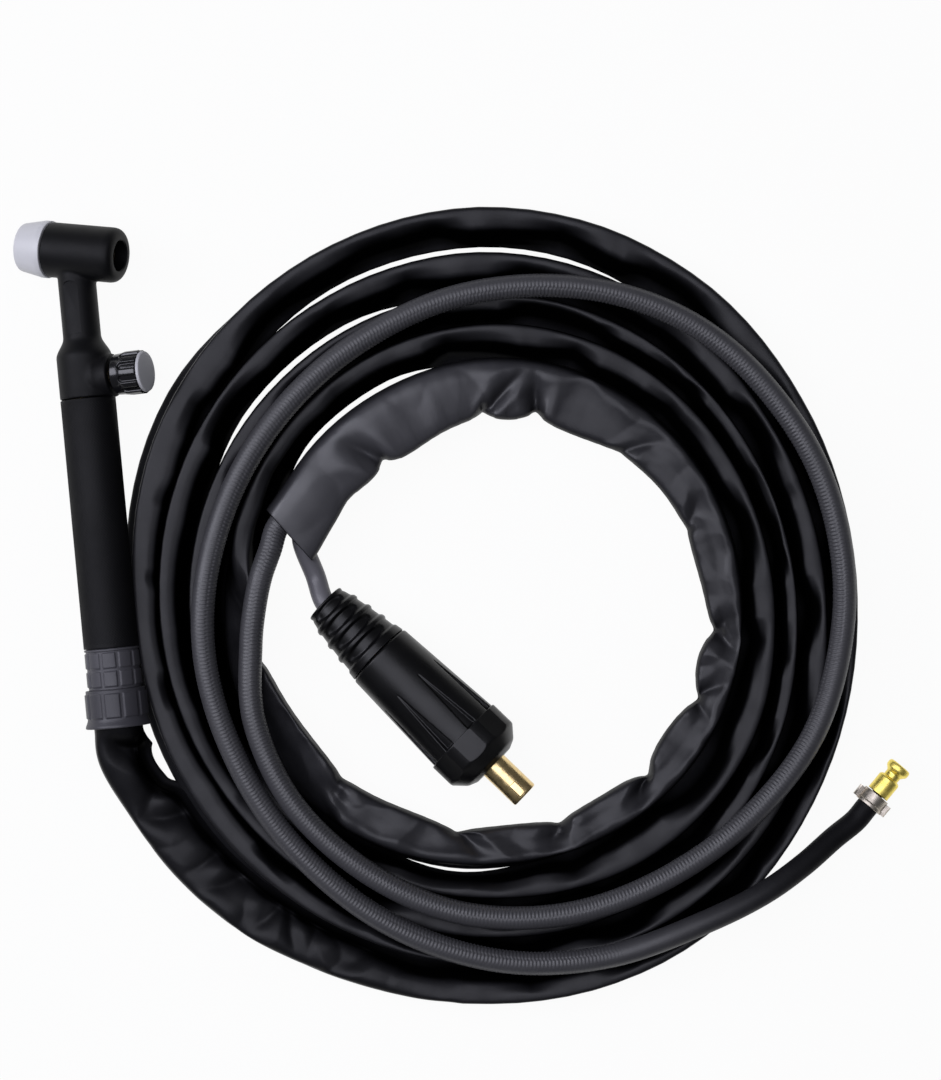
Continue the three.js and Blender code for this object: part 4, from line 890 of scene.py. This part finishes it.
def braid(place, left, point, side, angles):
    """A braid under the skin on the coil's side: ladders of fine bars with seams between them."""
    phase = angles * BRAID_LADDERS + place / 300
    seam = np.exp(-((np.sin(phase / 2) / 0.2) ** 2))
    bar = np.cos(TAU * (place / BRAID_BAR + np.floor(phase / TAU) * 0.5))
    toward = side.x * (COIL_CENTRE[0] - point.x) + side.y * (COIL_CENTRE[1] - point.y)
    fine = 0.25 + 0.75 * rise(math.copysign(1, toward) * np.cos(angles), -0.3, 0.2)
    weave = 0.17 * bar * (1 - seam) - 0.34 * seam * (bar > 0)
    return HOSE_RADIUS - 0.24 + smoothstep(left, *BRAID_FADES) * fine * weave


def braided_hose():
    across = -(MOUTH_WIDTH - MOUTH_TALL) / 2 + 0.8
    points = [mouth_point(across, run) for run in (-12, -4, 4)]
    points += [polar(angle, distance, HOSE_LIES + height) for angle, distance, height in HOSE_ROUTE]
    points.append(polar(680.4, 188.8, 9.6))
    points += [NIPPLE @ Vector((0, run, 0)) for run in (-8, -1, 3, NIPPLE_RUN - 0.5)]
    obj, path = cord_tube("hose", points, HOSE_PITCH, HOSE_SIDES, braid)
    lefts = (HOSE_PITCH * row for row in reversed(range(len(path))))
    # A painted sheen along the hose, faint over the last run before the clamp.
    painted_sheen = np.repeat([0.12 + 0.88 * smoothstep(left, *SHEEN_FADES) for left in lefts], HOSE_SIDES)
    set_painted_sheen(obj, [*painted_sheen, 1.0, 0.1])
    return obj, path[::12] + [path[-1]]


# ---- the power cable, as in the CAD
CABLE_RADIUS = 4.65
BOOT_LENGTH, PLUG_BODY_LENGTH = 34, 53.2
COLLAR_RADIUS, COLLAR_FLAT, PLUG_BODY_RADIUS = 20.2, 19.4, 16.2
COLLAR_START = BOOT_LENGTH + PLUG_BODY_LENGTH
PLUG_SHOULDER = BOOT_LENGTH + 0.3 + 0.8
PLUG_TILT = math.atan((COLLAR_RADIUS - PLUG_BODY_RADIUS) / (COLLAR_START - PLUG_SHOULDER))
PLUG_LIES = PLUG_BODY_RADIUS * math.cos(PLUG_TILT) - PLUG_SHOULDER * math.sin(PLUG_TILT) + FLOOR_CLEARANCE
PLUG = (
    Matrix.Translation(from_centre(-75.7, 8, PLUG_LIES))
    @ turned(-49 - 90, "Z")
    @ Matrix.Rotation(PLUG_TILT, 4, "X")
)


def power_cable():
    inside = (MOUTH_WIDTH - MOUTH_TALL) / 2
    points = [mouth_point(inside - 1.4, -12), mouth_point(inside - 0.9, -6), mouth_point(inside - 0.8, 0)]
    points.append(from_centre(-78.9, 20.2, 10.2))
    points += [PLUG @ Vector((0, run, 0)) for run in (0, 9, 18, 26)]

    def uneven(place, *_):
        return CABLE_RADIUS - 0.03 + 0.03 * math.sin(place / 7)

    obj, path = cord_tube("power_cable_jacket", points, 0.8, 40, uneven)
    return obj, path[::4] + [path[-1]]


cover, cover_line = Cover().build()
dress(cover, cover_black, "torch", "cover", "sheath_lead", "sheath_coil")
hose, hose_line = braided_hose()
dress(hose, hose_black, "torch", "hose", "gas_hose")
cable, cable_line = power_cable()
dress(cable, jacket, "torch", "jacket", "power_cable")

# ---- the head
BARREL_RADIUS, BARREL_FRONT, BARREL_REAR = 12.5, 11.5, 23.2
CORE_REAR, CORE_FRONT = 17.2, -18.1
CAP_BORE, COLLET_BORE, THREAD_PITCH = 6.1, 5.4, 0.8
NECK_RADIUS, NECK_END, BULGE_START = 8.6, 38.8, 48
SEAM = -66.8
BOSS_END = 14.3
PANEL_HALF, PANEL_TOP, PANEL_BOTTOM = 4.0, -13.5, -37.5
VOXEL = 0.42


def head_shell():
    """Barrel, neck, bulge and boss in one moulding with soft inner corners."""
    barrel = lathe(
        "head_moulding",
        [(0, -BARREL_FRONT), (BARREL_RADIUS, -BARREL_FRONT, 0.6), (BARREL_RADIUS, BARREL_REAR, 4.4),
         (0, BARREL_REAR)],
        BARREL, 128, steps=10,
    )
    flare = [
        (lerp(NECK_RADIUS, HANDLE_RADIUS, smoothstep(step / 14, 0, 1)), -lerp(NECK_END, BULGE_START, step / 14))
        for step in range(15)
    ]
    end = SEAM + 0.02
    neck = lathe(
        "neck", [(0, 0), (NECK_RADIUS, 0), *flare, (HANDLE_RADIUS, end, 0.5), (0, end)], HANDSET, 128)
    boss = lathe(
        "boss",
        [(0, 0), (11.4, 0), (11.4, BOSS_END - 6.4), (10.4, BOSS_END - 4.6), (9.9, BOSS_END - 2.6),
         (9.9, BOSS_END, 0.8), (0, BOSS_END)],
        KNOB,
    )
    for part in (neck, boss):
        boolean(barrel, part, "UNION")
    modify(barrel, "REMESH", mode="VOXEL", voxel_size=VOXEL * MM)
    modify(barrel, "SMOOTH", factor=0.5, iterations=9)
    apply_modifiers(barrel)
    soften_corners(barrel)

    outline = [(-PANEL_HALF, PANEL_BOTTOM), (PANEL_HALF, PANEL_BOTTOM)]
    for step in range(15):
        angle = math.pi * step / 14
        outline.append((PANEL_HALF * math.cos(angle), PANEL_TOP - PANEL_HALF + PANEL_HALF * math.sin(angle)))
    panel = prism("panel", outline, NECK_RADIUS - 0.8, NECK_RADIUS + 6, HANDSET)
    bevel(panel, 0.3, 2)
    boolean(barrel, panel)
    front, core_end, rear = -BARREL_FRONT - 1, CORE_REAR + 0.3, BARREL_REAR + 4
    for profile, matrix in (
        ([(0, front), (9.5, front), (9.5, core_end), (0, core_end)], BARREL),
        ([(0, 0), (7, 0), (7, BARREL_REAR - 0.5), (7.7, BARREL_REAR + 0.3), (7.7, rear), (0, rear)], BARREL),
        ([(0, 0), (6.5, 0), (6.5, BOSS_END + 1), (0, BOSS_END + 1)], KNOB),
    ):
        boolean(barrel, lathe("cutter", profile, matrix))
    smooth_by_angle(barrel, 38)
    return barrel


def soften_corners(obj, rounds=7):
    """Smooths the points of hollow corners, where a moulding has fillets."""
    mesh = bmesh.new()
    mesh.from_mesh(obj.data)
    mesh.normal_update()
    for _ in range(rounds):
        moves = []
        for vertex in mesh.verts:
            edges = vertex.link_edges
            mean = sum((edge.other_vert(vertex).co for edge in edges), Vector()) / len(edges)
            step = mean - vertex.co
            if step.dot(vertex.normal) > 0:
                moves.append((vertex, step * 0.9))
        for vertex, step in moves:
            vertex.co += step
        mesh.normal_update()
    mesh.to_mesh(obj.data)
    mesh.free()


def core():
    """The brass core, with its threads for the back cap and the collet body."""
    def shape(radius, height, angle):
        cap = abs(radius - CAP_BORE) < 0.05 and height > 5.4
        collet = abs(radius - COLLET_BORE) < 0.05 and height < -7.3
        if not cap and not collet:
            return radius
        return radius + 0.28 * abs(2 * ((height / THREAD_PITCH - angle / TAU) % 1) - 1)

    return lathe(
        "head_core_threads",
        [(COLLET_BORE, CORE_FRONT), (7.9, CORE_FRONT, 0.3), (7.9, -BARREL_FRONT), (9.2, -BARREL_FRONT),
         (9.2, CORE_REAR, 0.3), (CAP_BORE, CORE_REAR), (CAP_BORE, 5.2), (4.4, 4.2), (4.4, -6.1),
         (COLLET_BORE, -7.1)],
        BARREL, 72, pitch=0.2, shape=shape,
    )


def insulator():
    rear, front = -11.8, -25.6
    return lathe(
        "insulator_ring",
        [(8.2, rear), (13.03, rear, 0.4), (13.03, rear - 2.5, 0.5), (10.84, front, 1.6), (8.2, front, 0.3)],
        BARREL, 128, steps=8,
    )


# ---- the valve's knob
KNOB_START, KNOB_END, KNOB_RADIUS, KNOB_FLUTES = 15.5, 28.7, 10, 10
FLUTE_START, FLUTE_HALF, FLUTE_DEPTH = KNOB_START + 4.4, 1.75, 1.15
SCREW_BORE, SCREW_FLOOR = 2.6, KNOB_END - 7.5


def knob():
    def shape(radius, height, angle):
        if radius < 9:
            return radius
        around = (angle / TAU * KNOB_FLUTES) % 1 - 0.5
        across = around * TAU * KNOB_RADIUS / KNOB_FLUTES
        away = math.hypot(across, max(FLUTE_START + FLUTE_HALF - height, 0))
        return radius - FLUTE_DEPTH * (1 - smoothstep(away, FLUTE_HALF - 0.5, FLUTE_HALF + 0.2))

    return lathe(
        "knob_cap_body",
        [(SCREW_BORE, KNOB_START), (8.6, KNOB_START, 0.3), (9.2, KNOB_START + 0.6, 0.3),
         (9.4, KNOB_START + 3.8, 1.0), (KNOB_RADIUS, KNOB_START + 6.0, 1.0), (KNOB_RADIUS, KNOB_END, 0.5),
         (6.3, KNOB_END), (6.3, SCREW_FLOOR), (SCREW_BORE, SCREW_FLOOR)],
        KNOB, 240, pitch=0.3, shape=shape,
    )


def knob_disc():
    seat = KNOB_END + 0.3
    return lathe(
        "knob_end_disc",
        [(0, seat - 2.6), (6.0, seat - 2.6), (6.0, seat), (9.3, seat, 0.1), (9.0, 30.3, 0.5), (6.0, 30.5),
         (0, 30.55)],
        KNOB,
    )


# ---- handle and rings
HANDLE_TOP = SEAM - 0.3
HANDLE_END = HANDLE_TOP - 113
RING_TOP = HANDLE_END - 0.3
RING_END = RING_TOP - 18.2
RING_TIP = RING_END - 7.5
LOCK_TOP = RING_END - 0.3
LOCK_END = LOCK_TOP - 17.2
RING_BASE, LOCK_BASE = 11.8, 13.5
KNURL_AROUND, KNURL_PITCH, KNURL_DEPTH = 60, 1.31, 0.16
PAD_COUNT, PAD_GAP, PAD_HEIGHT = 10, 7 / 360, 0.6


def handle():
    """The grip with its fine diamond knurl."""
    def shape(radius, height, angle):
        if radius < HANDLE_RADIUS - 0.2:
            return radius
        fade = smoothstep(HANDLE_TOP - height, 0.8, 2.2) * smoothstep(height - HANDLE_END, 0.8, 2.2)
        around = angle / TAU * KNURL_AROUND
        groove = min(abs(2 * ((around + way * height / KNURL_PITCH) % 1) - 1) for way in (1, -1))
        return radius - KNURL_DEPTH * fade * (1 - smoothstep(groove, 0.0, 0.75))

    step = HANDLE_END + 7.3
    return lathe(
        "handle_grip",
        [(10.8, HANDLE_TOP), (HANDLE_RADIUS, HANDLE_TOP, 0.5), (HANDLE_RADIUS, HANDLE_END, 0.5),
         (11.6, HANDLE_END), (11.6, step), (10.8, step)],
        HANDSET, 480, pitch=0.33, shape=shape,
    )


def pads(base, tops, length, low, high):
    """Rows of raised pads with soft edges, on the part of a ring that has the base radius."""
    def shape(radius, height, angle):
        if abs(radius - base) > 0.05 or not low <= height <= high:
            return radius
        around = (angle / TAU * PAD_COUNT) % 1
        across = (min(around, 1 - around) / PAD_COUNT - PAD_GAP / 2) * TAU * base
        along = max(min(top - height, height - (top - length)) for top in tops)
        return radius + PAD_HEIGHT * smoothstep(min(across, along), -0.12, 0.3)

    return shape


def end_ring():
    shape = pads(RING_BASE, (RING_TOP - 1.7, RING_TOP - 10.1), 7, -math.inf, RING_TOP - 1.1)
    return lathe(
        "handle_end_collar",
        [(10.4, RING_TOP + 7), (11.3, RING_TOP + 7), (11.3, RING_TOP), (12.4, RING_TOP, 0.3),
         (12.4, RING_TOP - 0.9, 0.2), (RING_BASE, RING_TOP - 1.0), (RING_BASE, RING_END, 0.3),
         (11.7, RING_END), (11.7, RING_TIP), (10.4, RING_TIP)],
        HANDSET, 320, pitch=0.3, shape=shape,
    )


def locking_ring():
    shape = pads(LOCK_BASE, (LOCK_TOP - 1.6,), 11, LOCK_TOP - 13.2, math.inf)
    return lathe(
        "locking_ring",
        [(12.0, LOCK_TOP), (LOCK_BASE, LOCK_TOP, 0.4), (LOCK_BASE, LOCK_TOP - 13.4, 1.5),
         (14.8, LOCK_END + 1.0, 0.8), (14.8, LOCK_END, 0.5), (13.2, LOCK_END, 0.4), (12.0, LOCK_END + 4)],
        HANDSET, 320, pitch=0.3, shape=shape,
    )


# ---- clamp and nipple
def clamp_band():
    inner, outer = HOSE_RADIUS + 0.1, CLAMP_RADIUS - 0.4
    band = lathe(
        "clamp_band",
        [(inner, 0.6), (CLAMP_RADIUS, 0.6, 0.3), (CLAMP_RADIUS, 2.1, 0.3), (outer, 2.5, 0.2),
         (outer, 7.2, 0.3), (inner, 7.2)],
        NIPPLE,
    )
    foot, top = CLAMP_RADIUS - 0.8, CLAMP_RADIUS + 1.9
    outline = [(foot, -1.7), (top - 0.6, -1.9), (top, -1.2), (top, 1.2), (top - 0.6, 1.9), (foot, 1.7)]
    for side in (0, 180):
        ear = prism("ear", outline, 0.9, 6.3, NIPPLE @ turned(side, "Y") @ turned(-90, "X"))
        boolean(band, ear, "UNION")
    bevel(band, 0.22, 3, sharper_than=40)
    smooth_by_angle(band, 40)
    return band


def nipple():
    start = NIPPLE_RUN + 0.3
    shoulder = start + 9.2
    neck = shoulder + 2.4
    end = neck + 5
    tail = 17
    profile = [
        (1.8, end, 0.3), (5.6, end, 1.6), (5.6, neck + 1.9, 0.9), (3.7, neck, 0.6), (3.7, shoulder, 0.6),
        (4.3, shoulder, 0.4), (5.3, shoulder - 0.9, 0.5), (5.3, start, 0.3), (2.7, start),
    ]
    for barb in range(3):
        ridge = start - tail / 3 * (barb + 0.6)
        profile += [(2.7, ridge), (3.2, ridge - 0.2), (2.5, start - tail / 3 * (barb + 1))]
    profile.append((1.8, start - tail))
    return lathe("nipple_turning", profile, NIPPLE, steps=6)


# ---- the plug
COLLAR_FACE = COLLAR_START + 11.4 + 6
COLLAR_FRONT = COLLAR_FACE + 1.8
PIN_ROOT = COLLAR_FRONT - 8
PIN_TIP = COLLAR_FRONT + 19.6
BOOT_ROWS, BOOT_ROW = 4, 31 / 4
FLUTES, BODY_FLUTE_START = 8, BOOT_LENGTH + 20


def boot():
    """The rubber boot: four rows of shallow oval pockets, above and below, with ridges between them."""
    def taper(height):
        return lerp(9.5, 15.8, clamp(height / BOOT_LENGTH, 0, 1) ** 0.6)

    def shape(radius, height, angle):
        if radius < 9 or height > BOOT_ROWS * BOOT_ROW:
            return radius
        along = height / BOOT_ROW % 1 - 0.5
        around = (angle / TAU * 2 + 0.5) % 1 - 0.5
        pocket = 1 - smoothstep(math.hypot((along + 0.02) / 0.38, around / 0.29), 0.7, 1.04)
        return radius - 1.1 * pocket - 0.9 * smoothstep(0.5 - abs(along), 0.06, 0.26)

    profile = [(5.9, 0)] + [(taper(height), height, 0.4) for height in range(0, 30, 3)]
    profile += [(15.4, BOOT_LENGTH - 2.6, 0.6), (15.8, BOOT_LENGTH, 0.5), (5.1, BOOT_LENGTH), (5.1, 3)]
    return lathe("plug_boot_rings", profile, PLUG, 160, pitch=0.4, shape=shape, steps=4)


def plug_body():
    """The plug's sleeve: narrow flutes run out from nothing to a collar with as many sides."""
    start = BOOT_LENGTH + 0.3

    def shape(radius, height, angle):
        sector = angle / TAU * FLUTES
        if height > COLLAR_START + 0.02 and radius > COLLAR_FLAT - 5:
            side = ((sector + 0.5) % 1 - 0.5) * TAU / FLUTES
            return min(radius, lerp(COLLAR_FLAT, radius, 0.15) / math.cos(side))
        if height > COLLAR_START - 0.02 or height < BODY_FLUTE_START or radius < 12:
            return radius
        share = (height - BODY_FLUTE_START) / (COLLAR_START - BODY_FLUTE_START)
        half = lerp(0.2, 2.5, share)
        across = abs(math.sin((sector % 1 - 0.5) * TAU / FLUTES)) * radius
        cut = 1 - smoothstep(across, half - 0.35, half + 0.3)
        cut *= smoothstep(COLLAR_START - height, 0.0, 0.5)
        return radius - cut * lerp(0.3, 2.0, share)

    return lathe(
        "plug_sleeve",
        [(5.1, start), (15.4, start, 0.4), (PLUG_BODY_RADIUS, PLUG_SHOULDER, 0.4), (18.8, COLLAR_START, 0.2),
         (19.9, COLLAR_START + 0.05, 0.1), (COLLAR_RADIUS, COLLAR_START + 0.5, 0.3),
         (COLLAR_RADIUS, COLLAR_FACE - 6, 1.0), (14.7, COLLAR_FACE, 0.9), (10.5, COLLAR_FRONT, 0.5),
         (6.8, COLLAR_FRONT, 0.3), (6.8, PIN_ROOT + 5.3), (10.7, PIN_ROOT + 5.3), (10.7, PIN_ROOT - 0.3),
         (8.7, PIN_ROOT - 0.3), (8.7, PIN_ROOT - 40.3), (5.1, PIN_ROOT - 40.3)],
        PLUG, 384, pitch=0.4, shape=shape,
    )


def plug_pin():
    pin = lathe(
        "plug_contact",
        [(0, PIN_TIP), (6.5, PIN_TIP, 1.1), (6.5, PIN_ROOT + 5), (10.4, PIN_ROOT + 5), (10.4, PIN_ROOT),
         (8.4, PIN_ROOT), (8.4, PIN_ROOT - 40), (5.2, PIN_ROOT - 40), (5.2, PIN_ROOT - 14), (0, PIN_ROOT - 14)],
        PLUG, 128, steps=8,
    )
    low, high = PIN_TIP - 7.9, PIN_TIP - 0.9
    lug = prism("lug", [(-1.8, low), (1.8, low), (1.8, high), (-1.8, high)], 3.0, 7.6, PLUG)
    bevel(lug, 0.45, 4)
    boolean(pin, lug, "UNION")
    smooth_by_angle(pin, 40)
    return pin


dress(head_shell(), moulding, "torch", "moulding", "head_shell")
# The brass core is given the nearly black brass, a painted shade.
dress(core(), painted_shade_brass, "torch", "brass", "head_core")
dress(insulator(), white, "torch", "insulator", "front_insulator")
dress(knob(), knob_gloss, "knob", "knob", "valve_knob")
dress(knob_disc(), knob_grey, "knob", "knob_face", "knob_cap")
dress(handle(), grip, "torch", "moulding", "handle")
dress(end_ring(), ring_grey, "torch", "ring", "handle_end_ring")
# The locking ring gets the darker copy of the ring grey, a painted shade.
dress(locking_ring(), shaded_lock_grey, "lock_ring", "ring", "lock_ring")
band = dress(clamp_band(), steel, "torch", "steel", "hose_clamp")
nipple_piece = dress(nipple(), yellow_brass, "torch", "brass", "gas_nipple")
plug_parts = [
    dress(boot(), plug_rubber, "torch", "rubber", "plug_boot"),
    dress(plug_body(), plug_rubber, "torch", "rubber", "plug_body"),
    dress(plug_pin(), brass, "torch", "brass", "plug_pin"),
]
NODE_PAINTS = {
    copper: ("neck_tube", "cable_strands", "plug_strands", "plug_ferrule"),
    brass: ("valve_body", "valve_gland", "valve_stem", "gas_barb", "cable_adapter"),
    steel: ("knob_screw", "plug_set_screw_rear", "plug_set_screw_front"),
    inner_rubber: ("valve_o_ring",),
    ring_grey: ("sheath_collar",),
    jacket: ("cable_tail",),
    hose_black: ("hose_tail",),
}
for paint, nodes in NODE_PAINTS.items():
    for node in nodes:
        paint_node(node, paint)

# ---- camera, floor, world and lamps
CAMERA_TURN = 5.37  # degrees between the handle and the picture's upright
CAMERA_PLACE = (0.16456, -0.04673, 1.378)
FLOOR_REACH = 3.0
WHITE = (1, 1, 1, 1)

camera_data = bpy.data.cameras.new("camera")
camera_data.sensor_width = 36
camera_data.lens = 100
camera = bpy.data.objects.new("camera", camera_data)
camera.location = CAMERA_PLACE
camera.rotation_euler = (0, 0, math.radians(-CAMERA_TURN))
scene.collection.objects.link(camera)
scene.camera = camera


def seen_white(tree, lit, output, glow_kind, rays, share):
    """Mixes white light over a surface for these kinds of ray, and leaves the rest as it is lit."""
    path = tree.nodes.new("ShaderNodeLightPath")
    seen = path.outputs[rays[0]]
    for ray in rays[1:]:
        seen = add_node(tree, "ShaderNodeMath", {0: seen, 1: path.outputs[ray]}, operation="MAXIMUM").outputs[0]
    part = add_node(tree, "ShaderNodeMath", {0: seen, 1: share}, operation="MULTIPLY")
    glow = add_node(tree, glow_kind, {"Strength": 1.0, "Color": WHITE})
    mix = add_node(tree, "ShaderNodeMixShader", {0: part.outputs[0], 1: lit, 2: glow.outputs[0]})
    tree.links.new(mix.outputs[0], output)


floor_mesh = bpy.data.meshes.new("floor")
corners = [(x * FLOOR_REACH, y * FLOOR_REACH, 0) for x, y in ((-1, -1), (1, -1), (1, 1), (-1, 1))]
floor_mesh.from_pydata(corners, [], [(0, 1, 2, 3)])
floor = bpy.data.objects.new("floor", floor_mesh)
floor.location = (0.17, -0.08, -0.0002)
scene.collection.objects.link(floor)
floor_paint = bpy.data.materials.new("floor")
floor_paint.use_nodes = True
tree = floor_paint.node_tree
floor_shader = tree.nodes["Principled BSDF"]
floor_shader.inputs["Base Color"].default_value = (0.7, 0.7, 0.7, 1)
floor_shader.inputs["Roughness"].default_value = 0.9
seen_white(
    tree, floor_shader.outputs[0], tree.nodes["Material Output"].inputs["Surface"], "ShaderNodeEmission",
    ["Is Camera Ray", "Is Glossy Ray", "Is Transmission Ray"], 0.95)
floor_mesh.materials.append(floor_paint)

world = bpy.data.worlds.new("world")
scene.world = world
world.use_nodes = True
tree = world.node_tree
background = tree.nodes["Background"]
background.inputs["Color"].default_value = (0.95, 0.97, 1.0, 1)
background.inputs["Strength"].default_value = 0.1
seen_white(
    tree, background.outputs[0], tree.nodes["World Output"].inputs["Surface"], "ShaderNodeBackground",
    ["Is Camera Ray"], 1.0)

LAMP_COLOR = (0.88, 0.885, 1.0)
LAMP_AIM = Vector((0.16, -0.06, 0))
for name, place, size, power in (
    ("overhead", (-0.2, 0.1, 1.7), 1.55, 20),
    ("from the left", (-1.3, 0.45, 1.15), 1.0, 17),
):
    data = bpy.data.lights.new(name, "AREA")
    data.shape = "RECTANGLE"
    data.size = data.size_y = size
    data.energy = power
    data.color = LAMP_COLOR
    lamp = bpy.data.objects.new(name, data)
    lamp.location = place
    lamp.rotation_euler = (LAMP_AIM - Vector(place)).to_track_quat("-Z", "Y").to_euler()
    scene.collection.objects.link(lamp)

scene.view_settings.view_transform = "Standard"
